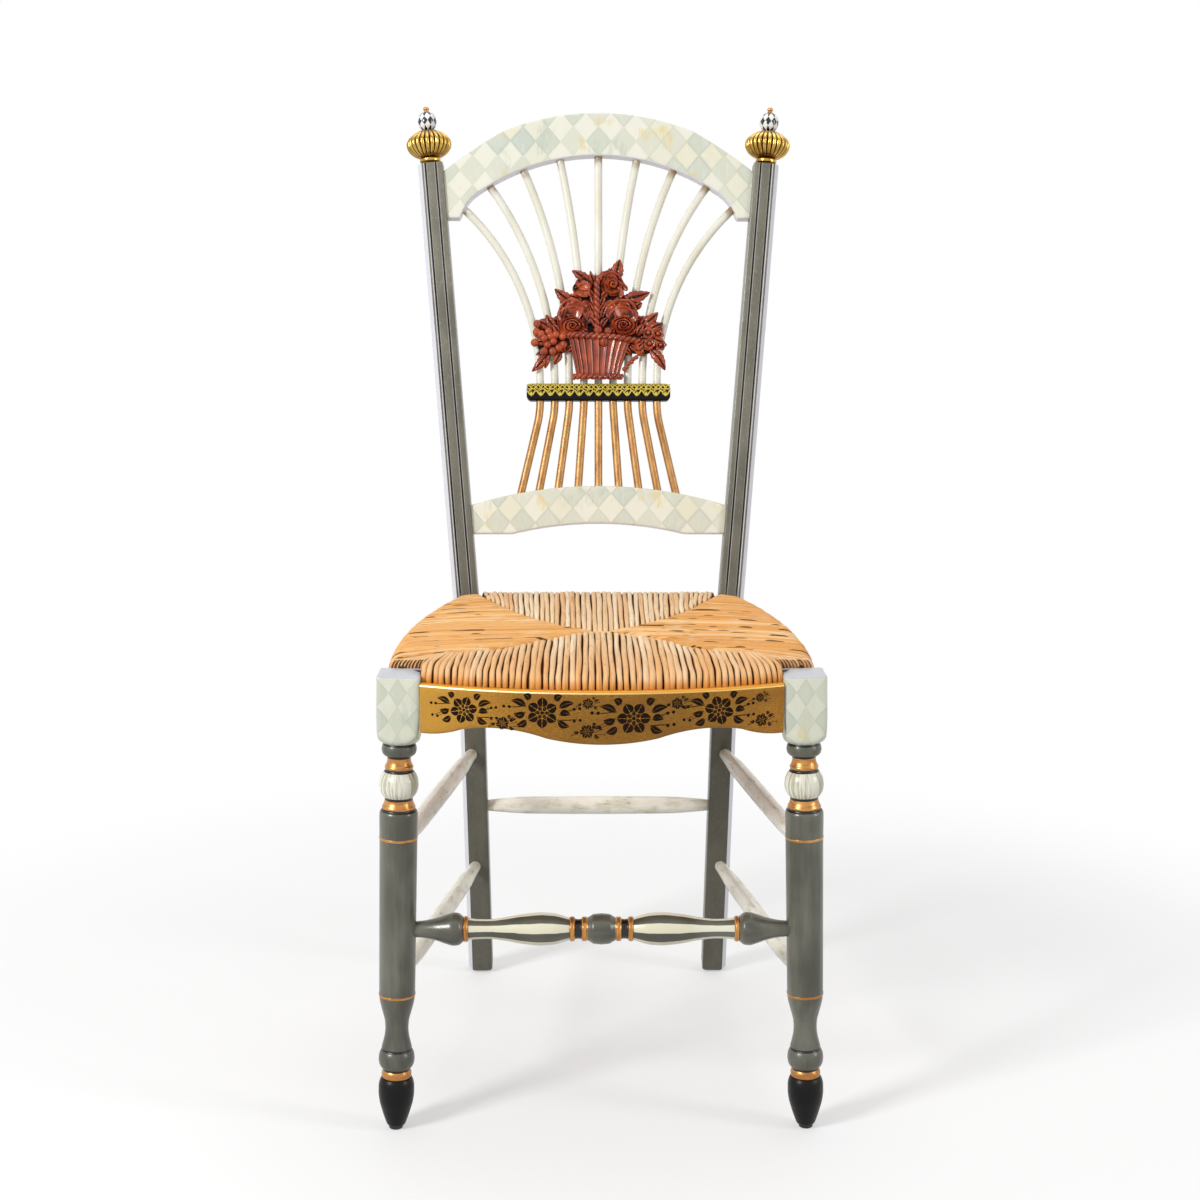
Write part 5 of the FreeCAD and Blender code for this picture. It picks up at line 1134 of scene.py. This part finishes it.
# Leaves and petals: stem, tip, width, how far out, and bend or cup
LEAVES = [
    ((21, 447), (25.4, 471.5), 15.5, 8.0, 0.6), ((17, 449), (12.5, 461.0), 9.0, 7.5, 0.0),
    ((-9, 441), (-31.6, 458.2), 13.0, 8.0, -1.2), ((-4, 441), (-9.8, 455.6), 9.0, 8.5, 0.6),
    ((-14, 446), (-19.0, 456.5), 8.0, 7.5, 0.0), ((-28, 418), (-52.2, 436.2), 14.5, 8.0, 1.4),
    ((-34, 416), (-46.0, 420.0), 9.0, 7.5, 0.0), ((30, 424), (61.4, 432.0), 15.5, 8.0, -1.6),
    ((34, 421), (52.0, 417.5), 10.0, 7.5, 0.5), ((-50, 388), (-62.5, 405.2), 12.0, 8.5, 1.2),
    ((-52, 386), (-74.0, 398.0), 12.0, 8.0, -1.0), ((-56, 380), (-77.5, 381.0), 11.0, 8.0, 0.8),
    ((-58, 372), (-78.0, 372.0), 10.0, 8.0, -0.6), ((-58, 362), (-79.2, 337.4), 12.5, 8.0, 1.6),
    ((-60, 356), (-63.5, 341.0), 9.0, 8.0, -0.8), ((-45, 361), (-53.0, 345.5), 9.0, 8.0, 0.6),
    ((52, 392), (71.0, 408.2), 13.0, 8.5, -1.2), ((50, 390), (58.5, 404.5), 9.0, 8.0, 0.0),
    ((60, 386), (77.0, 395.0), 11.0, 8.5, 0.8), ((64, 378), (79.8, 371.0), 10.0, 8.5, -0.8),
    ((62, 364), (79.4, 339.0), 13.0, 8.5, 1.8), ((-6, 396), (-14.5, 420.5), 9.0, 12.0, -3.0),
    ((0, 396), (9.5, 420.0), 9.0, 12.0, 3.0), ((-2, 388), (-12.0, 402.0), 8.0, 14.0, -2.0),
    ((3, 388), (12.5, 401.0), 8.0, 14.0, 2.0), ((-22, 424), (-38.0, 428.0), 9.0, 9.0, 0.0),
    ((26, 426), (38.0, 421.0), 9.0, 9.0, 0.0), ((44, 412), (52.0, 420.0), 8.0, 8.0, 0.5),
    ((-3, 404), (-11.0, 431.0), 10.0, 10.0, -2.5), ((2, 404), (9.0, 430.0), 10.0, 10.0, 2.5),
    ((-4, 424), (-13.0, 437.0), 8.0, 10.5, 1.0), ((3, 424), (10.0, 434.0), 8.0, 10.5, -1.0),
    ((46, 380), (54.0, 394.0), 9.0, 11.0, 0.8), ((-47, 382), (-55.0, 393.0), 9.0, 11.0, -0.8),
    ((-12, 382), (-20.0, 388.0), 8.0, 13.0, 0.6), ((13, 382), (19.0, 389.0), 8.0, 13.0, -0.6),
    ((45, 362), (54.0, 372.0), 9.0, 10.0, 0.6), ((-40, 360), (-47.0, 374.0), 8.0, 9.0, 0.6),
]
PETALS = [
    ((-24, 399), (-34.0, 421.0), 22.0, 12.0, 4.5), ((-20, 396), (-18.0, 417.0), 17.0, 13.0, 4.0),
    ((-36, 396), (-46.0, 410.5), 17.0, 11.0, 4.0), ((-15, 394), (-8.5, 409.0), 12.0, 14.0, 3.0),
    ((24, 400), (30.0, 420.5), 25.0, 12.0, 4.5), ((18, 396), (12.5, 414.0), 14.0, 13.0, 4.0),
    ((34, 397), (45.5, 408.5), 15.0, 12.0, 4.0), ((28, 436), (32.5, 440.0), 13.0, 12.0, 3.0),
    ((12, 446), (17.0, 453.5), 20.0, 11.0, 3.5), ((22, 430), (30.0, 431.0), 12.0, 12.5, 2.5),
    ((-27, 441), (-12.0, 427.0), 17.0, 11.5, 3.5), ((-24, 442), (-24.0, 427.0), 14.0, 10.5, 3.0),
    ((-27, 443), (-9.5, 435.5), 12.0, 13.5, 3.0), ((-14, 446), (-27.5, 439.0), 11.0, 12.5, 2.5),
    ((-8, 404), (-20.0, 420.0), 15.0, 12.5, 4.0), ((8, 404), (17.0, 421.0), 14.0, 12.5, 4.0),
    ((-36, 398), (-20.0, 416.0), 18.0, 13.5, 5.0), ((34, 399), (22.0, 417.0), 17.0, 13.5, 5.0),
]
FOLDS = [
    ([(-48.3, 405.8, 12), (-42.2, 417.9, 14), (-31.6, 422.4, 15), (-19.5, 416.3, 16), (-8.9, 401.2, 14)], 2.3),
    ([(-45.0, 402.0, 15), (-41.0, 411.0, 17), (-28.6, 413.8, 18), (-17.4, 405.3, 18), (-11.5, 395.2, 15)], 1.9),
    ([
        (4.8, 401.2, 14), (10.8, 413.3, 15), (23.0, 420.9, 16), (35.1, 420.9, 15), (44.2, 410.3, 14),
        (45.7, 398.2, 12),
    ], 2.3),
    ([(9.8, 396.0, 15), (15.4, 407.3, 17), (27.5, 413.4, 18), (38.6, 409.3, 17), (43.5, 400.0, 15)], 1.9),
    ([(-0.5, 446.6, 12), (5.8, 452.6, 14), (16.9, 455.0, 14), (27.5, 448.1, 12)], 1.9),
    ([(-28.5, 436.0, 13), (-22.0, 440.5, 15), (-13.0, 441.2, 15), (-8.0, 438.0, 13)], 1.8),
]
GRAPES = [
    (-59.2, 384.8), (-64.4, 376.5), (-53.7, 372.7), (-42.4, 378.8), (-41.6, 369.0), (-60.6, 368.9),
    (-64.4, 361.4), (-54.5, 361.3), (-50.7, 381.0), (-73.5, 384.0), (-75.8, 371.3), (-72.7, 393.9),
    (-47.0, 365.2), (-68.0, 381.6), (-57.0, 379.0),
]
SPRIG = [
    (48.5, 358.5), (45.0, 354.5), (41.8, 352.6), (39.6, 348.9), (36.0, 347.2), (33.8, 343.2), (30.6, 340.6),
]
BLOSSOMS = [
    ((59.0, 383.4), 7.6, 0.3), ((70.6, 382.2), 7.4, 0.9), ((74.0, 368.6), 6.8, 0.1), ((47.6, 364.6), 7.0, 0.6),
    ((60.5, 370.4), 7.2, 1.1),
]
ROPES = [
    ([
        (-37, 380.5, 10), (-24, 379.5, 18.5), (0, 378.2, 20.2), (22, 377.0, 18.5), (40, 374.8, 13),
        (52, 373.5, 8),
    ], 4.0, 6.5),
    ([(-29, 331.4, 8), (-20, 331.0, 16.0), (0, 330.6, 17.8), (19, 331.0, 16.0), (27.5, 331.4, 8)], 3.9, 6.5),
    ([
        (-2, 386, 15.5), (-2, 400, 16.5), (-2.2, 425, 15.0), (-1.8, 441, 13.5), (2.4, 450.5, 12.5),
        (11.0, 454.6, 11.5), (20.5, 450.0, 10.5),
    ], 3.8, 7.0),
]
GROUND = [
    (16.9, 455.6), (29.0, 442.0), (27.5, 428.4), (44.2, 419.4), (44.2, 403.2), (51.0, 400.5), (64.5, 401.0),
    (73.0, 389.2), (74.5, 371.5), (66.4, 363.5), (53.3, 357.9), (36.6, 360.0), (24.0, 340.0), (0.0, 335.0),
    (-24.0, 340.0), (-33.0, 362.0), (-49.8, 358.5), (-62.4, 358.5), (-71.5, 364.5), (-73.0, 386.0),
    (-68.5, 396.2), (-57.9, 400.8), (-47.3, 405.3), (-40.7, 418.9), (-31.0, 426.0), (-28.6, 438.6),
    (-15.9, 450.6), (-1.3, 453.2), (16.9, 455.6),
]
GROUND_CENTRE = np.array([0.0, 392.0])


def brick_paint():
    """Brick-red paint, glossy, with a painted highlight that pales the ridges and painted shade that
    darkens the hollows, made patchy by noise."""
    finish = Finish("glazed_brick_paint", {"Coat Roughness": 0.1, "Specular IOR Level": 0.2})
    wear_and_shade = finish.noise(170.0, 4.0, 0.6)
    # Painted shade where the tone is high, and a painted highlight where it is below 0
    dark = (finish.tone + wear_and_shade * 0.5 - 0.12).ramp(0.31, 0.76)
    red = finish.mix(finish.noise(60.0).ramp(0.35, 0.7), "8a3016", "b34d22")
    red = red.wash((0 - finish.tone).ramp(0.1, 1.0) * 0.65, "e8a88c").wash(dark, "1c0804")
    return finish.link(
        {"Base Color": red, "Coat Weight": (1 - dark) * 0.5, "Roughness": 0.26 + wear_and_shade * 0.2}, wear_and_shade, 0.0004
    )


bouquet = Shape()
for row in LEAVES:
    leaf(bouquet, *row)
for row in PETALS:
    petal(bouquet, *row)
ground(bouquet, GROUND, GROUND_CENTRE, 5.6)
border = flowing(GROUND, 2)
for number, place in enumerate(border[border[:, 1] > 356][::2]):
    reach = place - GROUND_CENTRE
    tip = GROUND_CENTRE + reach * (1.0 + 0.05 * (number % 3))
    leaf(bouquet, GROUND_CENTRE + reach * 0.66, tip, 8.5, 6.6, 1.2 - 0.6 * (number % 5), 2.0)
for centre, reach, out in (((-31.0, 392.0), 19.5, 9.0), ((29.8, 393.2), 17.5, 9.5), ((16.8, 439.0), 14.5, 8.5)):
    petal_ring(bouquet, centre, reach, 6, 0.5, out, 3.6)
    petal_ring(bouquet, centre, reach * 0.76, 5, 0.1, out + 2.5, 3.0)
rose(bouquet, (-30.8, 391.0), 17.2, 12.5, 8.5, 4.2, (0.02, 0.10), 0.72)
rose(bouquet, (29.6, 391.8), 15.0, 13.0, 8.5, 4.0, (-0.02, 0.10), 0.76)
for line, radius in FOLDS:
    fold(bouquet, line, radius)
rose(bouquet, (17.0, 441.0), 6.8, 13.0, 5.5, 1.9, (0.1, 0.1))
for spot in GRAPES:
    berry(bouquet, spot, 4.9, 12.5)
for row in BLOSSOMS:
    blossom(bouquet, *row)
for spot in SPRIG:
    berry(bouquet, spot, 2.7, 8.5)
berry(bouquet, (-0.5, 385.4), 5.6, 17.5)
berry(bouquet, (11.2, 384.2), 5.0, 17.5)
berry(bouquet, (6.6, 372.0), 5.6, 17.0, 1.25)
basket_body(bouquet)
for row in ROPES:
    rope(bouquet, *row)
bouquet.piece("carved_flower_basket", [brick_paint()], "basket_ornament", "red_glaze", crease=60)

# Rush seat: strands in four fields, each carried round its rail from below to above

rng = np.random.default_rng(20)
ROLL = 15.0
FRONT_EDGE = arc_between((-181.4, -12.0), (0.0, -49.0), (181.4, -12.0), 81)
SIDE_EDGE = arc_between((218.1, 26.3), (211.1, 188.8), (172.1, 351.4), 61)
FRONT_SEAM = flowing([
    (0, 157), (20, 147), (43, 126), (71, 101), (97, 70), (126, 57), (150, 50), (160, 42), (167, 33), (175, 28)
])
REAR_SEAM = flowing([(0, 157), (20, 166), (44, 189), (66, 213), (95, 256), (119, 307), (138, 355)])


def on_seat(plan, height):
    """Points at heights over the seat, which rises a little to the rear, all in millimetres."""
    x, back = np.moveaxis(plan, -1, 0)
    return chair_space(x * MM, back * MM, (482.0 + 0.0198 * (back + 34.0) + height) * MM)


def strand_paths(edge, control, end, roll, steep):
    """Centre lines of strands. In plan each is a quadratic curve from the seat's edge to a seam;
    from the side it comes from below, turns half round the rail and lies over the field, and it
    dives where it meets the seam. A short strand turns within 0.55 of its reach; where steep is
    1, the turn is narrow and its lower half goes straight up."""
    reach = np.linalg.norm(end - edge, axis=1)[:, None]
    turn = np.linspace(-math.pi / 2, math.pi / 2, 11)[None]
    flat = np.linspace(0, 1, 14)[None, 1:]
    depth = np.minimum(ROLL * (1 - 0.6 * steep[:, None]), 0.55 * reach)
    lower = np.where(turn < 0, 1 - steep[:, None], 1)
    around = depth * (1 - roll / ROLL * (1 - (1 - np.cos(turn)) * lower))
    over = depth + (reach - depth) * flat
    under = around[:, :1] + (reach - around[:, :1]) * flat
    inset = np.concatenate([under[:, ::-2], around, over], axis=1)
    crown = 2.5 * np.clip((over - ROLL) / 51, 0, 1) ** 0.7
    tail = np.minimum(9.0, reach - depth)
    dive = 5.0 * np.clip((over - reach + tail) / tail, 0, 1) ** 2
    height = np.concatenate([
        (-roll + 0.6 * dive)[:, ::-2], roll * np.sin(turn) + 0 * reach, roll + crown - dive
    ], axis=1)
    s = (inset / reach)[..., None]
    plan = (1 - s) ** 2 * edge[:, None] + 2 * s * (1 - s) * control[:, None] + s ** 2 * end[:, None]
    return plan, height


def rush_field(shape, edge, control, end, radius, wobble, tone, steep):
    """A field of strands and the bed under them, painted dark as shade. Each strand sways by sines of
    its length, is set a little aside, higher and thicker by chance, and draws its hue between 0 and 0.9."""
    plan, height = strand_paths(edge, control, end, ROLL - 3.1, steep)
    count, steps = height.shape
    along, phase, sideways = np.arange(steps) / 3.0, rng.uniform(0, TAU, (4, count, 1)), beside(end - edge)
    sway = np.sin(along * 0.9 + phase[0]) + 0.6 * np.sin(along * 2.3 + phase[1])
    sway = wobble * (sway + rng.uniform(-1.3, 1.3, (count, 1)))
    height = height + wobble * (0.6 * np.sin(along * 1.7 + phase[2]) + rng.uniform(-1.2, 0.6, (count, 1)))
    path = on_seat(plan + sideways[:, None] * sway[..., None], height)
    thick = radius * (1 + 0.08 * np.sin(along * 1.3 + phase[3]) + rng.uniform(-0.12, 0.08, (count, 1)))
    section = ring(8) * thick[..., None, None] * MM * (0.88, 1.0)
    grid = tube(path, section, raised(sideways, 0.0)[:, None])
    length = np.cumsum(np.linalg.norm(np.diff(path, axis=1, prepend=path[:, :1]), axis=2), axis=1)
    marks = np.stack(np.broadcast_arrays(np.linspace(0, 1, 9), length[..., None]), -1)
    shape.add(grid, marks, tone + rng.uniform(0, 0.9, (count, 1, 1)))
    # The bed under the strands, painted dark as shade
    shape.add(on_seat(*strand_paths(edge, control, end, ROLL - 4.2, steep)), finish=1, closed=False)


def spread(curve, count):
    """Points at the middles of equal steps along a curve."""
    return even(curve, 2 * count + 1)[1::2]


def on_seam(seam, x):
    """Points on a seam, given for its right half, at both sides of the middle."""
    return np.stack([x, np.interp(np.abs(x), *seam.T)], -1)


rush = Shape()
front = spread(FRONT_EDGE, 56)
away = np.abs(front[:, 0])
front_end = on_seam(FRONT_SEAM, np.sign(front[:, 0]) * np.interp(away, [0, 150, 181], [0, 145, 158]))
late = (0.3 * np.clip((away - 150) / 30, 0, 1))[:, None]
keep = np.hstack([0.85 + 0.4 * late, 0.5 - late])
bend = front * keep + front_end * (1 - keep)
rush_field(rush, front, bend, front_end, 3.5, 0.40, 0.0, np.zeros(56))
rear = spread(np.array([(-140.0, 385.2), (140.0, 385.2)]), 45)
rear_end = on_seam(REAR_SEAM, rear[:, 0] * 0.93)
rush_field(rush, rear, (rear + rear_end) / 2, rear_end, 3.35, 0.40, 0.0, np.zeros(45))

# The side fields: the first strands turn narrowly behind the leg's block
CORNER_STRANDS, SIDE_STRANDS = 10, 66
number = np.arange(SIDE_STRANDS)
corner = number < CORNER_STRANDS
outer = np.vstack([
    spread(np.array([(182.6, 23.1), (217.4, 23.1)]), CORNER_STRANDS),
    spread(SIDE_EDGE, SIDE_STRANDS - CORNER_STRANDS),
])
seam = np.vstack([FRONT_SEAM[::-1], REAR_SEAM[1:]])
back = np.interp(number + 0.5, [0, CORNER_STRANDS, SIDE_STRANDS], [28.5, 49, 355])
inner = np.stack([np.interp(back, seam[:, 1], seam[:, 0]), back], -1)
share = np.stack([np.where(corner, 0.6, 0.5), np.where(corner, 0.0, 0.2)], -1)
lift = np.where(corner, 7 + number, 14 * np.clip(1 - (number - CORNER_STRANDS) / 10, 0, 1))
bend = outer + share * (inner - outer) + lift[:, None] * (0, 1)
thickness, on_side = np.where(corner, 2.25, 2.95)[:, None], np.where(corner, 0.0, 1.0)[:, None, None]
for side in SIDES.values():
    lines = (points * (side, 1) for points in (outer, bend, inner))
    rush_field(rush, *lines, thickness, 0.26, on_side, corner * 1.0)


def rush_finish():
    """Twisted rush: fibres along each strand, strand by strand in straw and orange tones, more
    orange on the side fields, low on the roll and towards the front edge, with painted shade darker
    at the strands' own edges and in the gaps between them. The whole part of the tone is 1 on a side
    field; the rest is the hue."""
    finish = Finish("woven_rush", {"Specular IOR Level": 0.3})
    turns, run = finish.surface()
    on_side, hue = finish.tone > 0.95, finish.tone.math("FRACT")
    fibre = finish.noise(1.0, 4.0, 0.65, place=finish.vector(turns * 9.0 + run * 60.0, run * 45.0, hue * 37.0))
    streak = finish.noise(1.0, 3.0, 0.6, place=finish.vector(turns * 16.0, run * 12.0, hue * 71.0))
    parted = finish.noise(1.0, 1.0, 0.5, place=finish.vector(run * 24.0, hue * 97.0)).ramp(0.55, 0.68)
    straw = finish.ramp(
        hue, (0.0, "ecba84"), (0.25, "f8d7a9"), (0.5, "f0c490"), (0.7, "fce8c6"), (0.9, "f5cd9f")
    )
    amber = finish.ramp(hue, (0.0, "da9648"), (0.35, "efb772"), (0.6, "e3a258"), (0.9, "f7cf97"))
    y, z = finish.parts(finish.place)[1:]
    low, front = 1 - z.ramp(0.4835, 0.4925), 1 - (y + 0.5).ramp(0.27, 0.37)
    wave = (turns * TAU).math("SINE")
    one_side = wave * ((hue > 0.45) * 2 - 1) + parted * 0.85
    # Painted shade: groove is the dark gap between strands
    groove = abs(wave).ramp(0.80, 1.0) * (1 - on_side) * 0.85 + one_side.ramp(1.02, 1.16) * on_side
    colour = finish.mix(on_side, straw, amber)
    # The last two washes are painted shade, on the strands' sides and in the gaps between them
    for mask, over in (
        (finish.noise(30.0).ramp(0.52, 0.75) * 0.35, "f3dcbc"), (low * 0.85, "d98a26"),
        (front * (1 - on_side) * 0.42, "e39b45"), (fibre.ramp(0.54, 0.75) * 0.5, "a8692e"),
        (streak.ramp(0.57, 0.70) * 0.7, "b9742f"), (abs(wave).ramp(0.35, 0.9) * (1 - on_side) * 0.45, "c58a48"),
        (groove * 0.95, "55300f"),
    ):
        colour = colour.wash(mask, over)
    relief = fibre * 0.7 + streak * 0.7 - groove * 2.0
    return finish.link({"Base Color": colour, "Roughness": 0.45 + fibre * 0.3}, relief, 0.0007)


rush_shade = plain_paint("rush_in_shade", ("613310", "431f09"), 0.0)
rush.piece("rush_strands", [rush_finish(), rush_shade], "rush_seat", "woven_rush", crease=60)

# Apron: a bowed board with a serpentine lower edge, gilded and stencilled

BOW = 461.2
BOW_CENTRE = -49.3 + BOW
APRON_HALF = 181.0 * 1.007
PRINT_FOOT, PRINT_FACE = 9.7, 10.12


def bowed(along, height, out):
    """Places on the bow: along its back face, at a height, and out from that face, in mm."""
    turn, radius = along / BOW, (BOW + out) * MM
    return chair_space(radius * np.sin(turn), BOW_CENTRE * MM - radius * np.cos(turn), height * MM)


def gilded_panel():
    """Gold leaf brushed along the board, painted lighter towards the left end as light. Its front
    edge, where the tone is between 0 and -1, carries a painted highlight, a pale line paler to the
    left, and the top, where it is -1, is a warmer gold."""
    finish = Finish("brushed_gilding", {"Coat Weight": 0.2, "Coat Roughness": 0.2, "Specular IOR Level": 0.4})
    fleck = finish.noise(1900.0, 3.0, 0.65, crosswise(0.16))
    broad = finish.noise(30.0, 3.0, 0.55, crosswise(0.5))
    along, top = finish.parts(finish.place)[0], 0 - finish.tone
    colour = finish.mix(fleck.ramp(0.36, 0.66), "7f520f", "b57f22")
    # Painted light: the left end lighter, and the pale line along the front edge a painted highlight
    for mask, over in (
        (broad.ramp(0.45, 0.7) * 0.5, "83520e"), ((1 - along.ramp(-0.19, -0.06)) * 0.45, "dba742"),
        ((1 - abs(along - 0.03).ramp(0.03, 0.15)) * 0.35, "6b4a0e"),
        (top.ramp(0.04, 0.16), finish.mix(along.ramp(-0.15, 0.1), "fbe9b4", "dcb866")),
        (top.ramp(0.42, 0.58), "d28d22"),
    ):
        colour = colour.wash(mask, over)
    return finish.link({
        "Base Color": colour, "Metallic": 0.35 + fleck.ramp(0.3, 0.5) * 0.3, "Roughness": 0.30 + fleck * 0.25,
    }, fleck, 0.0002)


def printed(shape, line, half):
    """A flat patch of print: a line on the apron's face, as (along, height), and half its width
    at each point. It stands 0.12 mm proud of the gilding."""
    aside = beside(np.gradient(line, axis=0))[:, None] * half[:, None, None]
    along, height = np.moveaxis(line[:, None] + aside * np.array([-1, -1, 1, 1, -1])[:, None], -1, 0)
    out = np.array([PRINT_FOOT, PRINT_FACE, PRINT_FACE, PRINT_FOOT, PRINT_FOOT])
    shape.add(bowed(along, height, out), finish=1)


def printed_leaf(shape, stem, tip, width, bend=0.0, gap=0.35):
    """Two halves of a leaf, each side of a bare midrib, its half width a sine of the way along."""
    t, run = np.linspace(0.02, 0.98, 13), tip - stem
    half = width / 4 * np.sin(math.pi * t ** 0.8)
    for side in SIDES.values():
        away = bend * np.sin(math.pi * t) + side * (half + gap / 2)
        printed(shape, stem + run * t[:, None] + beside(run) * away[:, None], half)


def printed_berry(shape, centre, radius):
    """A disc as a line across it, as wide at each point as the circle."""
    along = -np.cos(np.linspace(0.15, math.pi - 0.15, 9)) * radius
    printed(shape, centre + along[:, None] * (1, 0), np.sqrt(radius ** 2 - along ** 2))


def spray(shape, x, height, size, turned, leaves, berries):
    """A rosette of two rows of petals, with leaves and berries at their own angles round it. The
    places along a spoke are in sizes of the rosette."""
    def spoke(angle, *reaches):
        return [np.array([x, height]) + towards(angle, size * reach) for reach in reaches]

    for angle in turned + TAU * np.arange(6) / 6:
        printed_leaf(shape, *spoke(angle, 0.40, 1.0), size * 0.62)
        printed_leaf(shape, *spoke(angle + TAU / 12, 0.14, 0.48), size * 0.2, 0, 0.2)
    printed_berry(shape, *spoke(0, 0.0), size * 0.11)
    for angle, start, reach in leaves:
        bend = size * 0.12 * math.copysign(1, math.sin(2 * angle + 0.2))
        printed_leaf(shape, *spoke(angle, start, reach), size * 0.42, bend)
    t = np.linspace(0, 0.9, 7)
    for angle, reach in berries:
        printed_berry(shape, *spoke(angle, reach), size * 0.1)
        printed(shape, *spoke(angle - 0.25 * (1 - t) ** 2, 1.05 + (reach - 1.1) * t), np.full(7, 0.22))


left = np.vstack([
    arc_between((-APRON_HALF, 431.0), (-APRON_HALF * 0.9, 432.0), (-APRON_HALF * 0.76, 438.6), 14)[:-1],
    arc_between((-APRON_HALF * 0.76, 438.6), (-APRON_HALF * 0.5, 441.2), (-APRON_HALF * 0.3, 433.5), 18)[:-1],
])
middle = arc_between((-APRON_HALF * 0.3, 433.5), (0.0, 427.9), (APRON_HALF * 0.3, 433.5), 24)
low = np.vstack([left, middle, left[::-1] * (-1, 1)])
high = np.array([(-APRON_HALF, 482.0), (APRON_HALF, 482.0)])
flat, depth, tone = board(even(low, 150), even(high, 150), 10.0, 3.2)
apron = Shape().add(bowed(*np.moveaxis(flat, -1, 0), depth + 5.0), flat * MM, tone)
# Round a rosette: leaves as (angle, start, end), berries as (angle, reach)
WIDE_LEAVES = [
    (0.32, 1.12, 2.1), (-0.06, 1.1, 1.75), (-0.46, 1.12, 1.9), (2.78, 1.12, 2.1), (3.2, 1.1, 1.8),
    (3.62, 1.12, 1.85), (0.74, 1.15, 1.7), (2.36, 1.15, 1.65),
]
WIDE_BERRIES = [
    (0.14, 2.0), (0.14, 2.35), (-0.24, 2.05), (-0.18, 2.4), (2.98, 2.1), (3.0, 2.45), (3.42, 2.05), (3.36, 2.4),
]
for spot in ((-136, 459, 14.0, 0.2), (-58, 460, 15.5, 0.5), (30, 455, 16.5, 0.0), (114, 460, 15.0, 0.8)):
    spray(apron, *spot, WIDE_LEAVES, WIDE_BERRIES)
for spot in (
    (-97, 448, 6.8, 0.3), (-15, 442, 7.2, 0.1), (72, 469, 6.0, 0.6), (158, 447, 6.8, 0.2), (-14, 470, 5.6, 0.4),
    (156, 470, 4.8, 0.4),
):
    spray(apron, *spot, WIDE_LEAVES[::2], WIDE_BERRIES[::3])
print_paint = plain_paint("dark_brown_print", ("120802", "241304"), 0.08)
apron.piece("gilded_apron", [gilded_panel(), print_paint], "apron", "gilded_panel", crease=50)

# Nodes of the imported part that show as they are

# The seat rails are painted a dark brown as shade, so the parts of them that show read as shadowed gaps
rail_wood_in_shade = plain_paint("beech_rail_in_painted_shade", ("4a2c14", "2c190b"), 0.1, crosswise(0.08))
steel = metal("threaded_steel_rod", ("8f9196", "6f7177"), 0.3)
for name, finish in {
    "front_seat_rail": rail_wood_in_shade, "rear_seat_rail": rail_wood_in_shade, "side_seat_rail_left": rail_wood_in_shade,
    "side_seat_rail_right": rail_wood_in_shade, "finial_rods": steel,
}.items():
    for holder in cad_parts[name].material_slots:
        holder.material = finish.material

# Camera, lights, backdrop and floor

scene = bpy.context.scene
scene.view_settings.view_transform = "Standard"


def look_at(made, ahead, roll=0.0):
    """Turns an object's -Z ahead with its Y up, and then rolls it."""
    turned = ahead.to_track_quat("-Z", "Y") @ Quaternion((0.0, 0.0, 1.0), roll)
    made.matrix_world = Matrix.Translation(made.location) @ turned.to_matrix().to_4x4()


TILT, SWING, DISTANCE = math.radians(10.35), math.radians(-0.6), 2.115
lens = bpy.data.cameras.new("camera")
lens.lens, lens.sensor_width = 58.5, 36.0
camera = bpy.data.objects.new("camera", lens)
scene.collection.objects.link(camera)
camera.location = (DISTANCE * math.sin(SWING), AXIS_Y + 0.200 - DISTANCE * math.cos(SWING), 0.912)
look_at(camera, Vector((
    -math.sin(SWING) * math.cos(TILT), math.cos(SWING) * math.cos(TILT), -math.sin(TILT)
)), math.radians(0.1))
scene.camera = camera


def lamp(name, place, height, size, power):
    """A white rectangular light, aimed at a height on the chair's middle line."""
    data = bpy.data.lights.new(name, "AREA")
    data.shape, data.energy = "RECTANGLE", power
    data.size, data.size_y = size
    made = bpy.data.objects.new(name, data)
    scene.collection.objects.link(made)
    made.location = place
    look_at(made, Vector((0, 0, height)) - Vector(place))


lamp("key", (-2.5, -2.2, 2.1), 0.5, (0.8, 1.0), 92)
lamp("fill", (2.8, -1.2, 1.5), 0.5, (0.7, 1.6), 27)
lamp("top", (0.2, 0.6, 3.0), 0.6, (2.0, 1.6), 18)

scene.world = bpy.data.worlds.new("studio")
scene.world.use_nodes = True
sky = Tree(scene.world.node_tree)
sky.nodes.clear()
light, backdrop = (
    sky.node("ShaderNodeBackground", {}, {0: "ffffff", 1: strength}) for strength in (0.40, 1.0)
)
shown = sky.node("ShaderNodeMixShader", {}, {0: sky.seen(), 1: light, 2: backdrop})
sky.node("ShaderNodeOutputWorld", {}, {0: shown})

# The floor takes light and shadow near the chair and fades into the white backdrop
mesh = bpy.data.meshes.new("floor")
mesh.from_pydata([(-6, -4, 0), (6, -4, 0), (6, 12, 0), (-6, 12, 0)], [], [(0, 1, 2, 3)])
floor = bpy.data.objects.new("floor", mesh)
scene.collection.objects.link(floor)
paper = Finish("white_floor", {
    "Base Color": (0.56, 0.56, 0.56, 1.0), "Roughness": 0.9, "Specular IOR Level": 0.0,
})
from_chair = paper.node("ShaderNodeVectorMath", {"operation": "LENGTH"}, {0: paper.place}, "Value")
lit = Value(paper, paper.shader.outputs[0])
glow, white = (paper.node("ShaderNodeEmission", {}, {1: strength}) for strength in (0.43, 1.0))
both = paper.node("ShaderNodeAddShader", {}, {0: lit, 1: glow})
faded = paper.node("ShaderNodeMixShader", {}, {0: from_chair.ramp(0.55, 1.25), 1: both, 2: white})
shown = paper.node("ShaderNodeMixShader", {}, {0: paper.seen(), 1: lit, 2: faded})
paper.links.new(shown.socket, paper.nodes["Material Output"].inputs[0])
mesh.materials.append(paper.material)
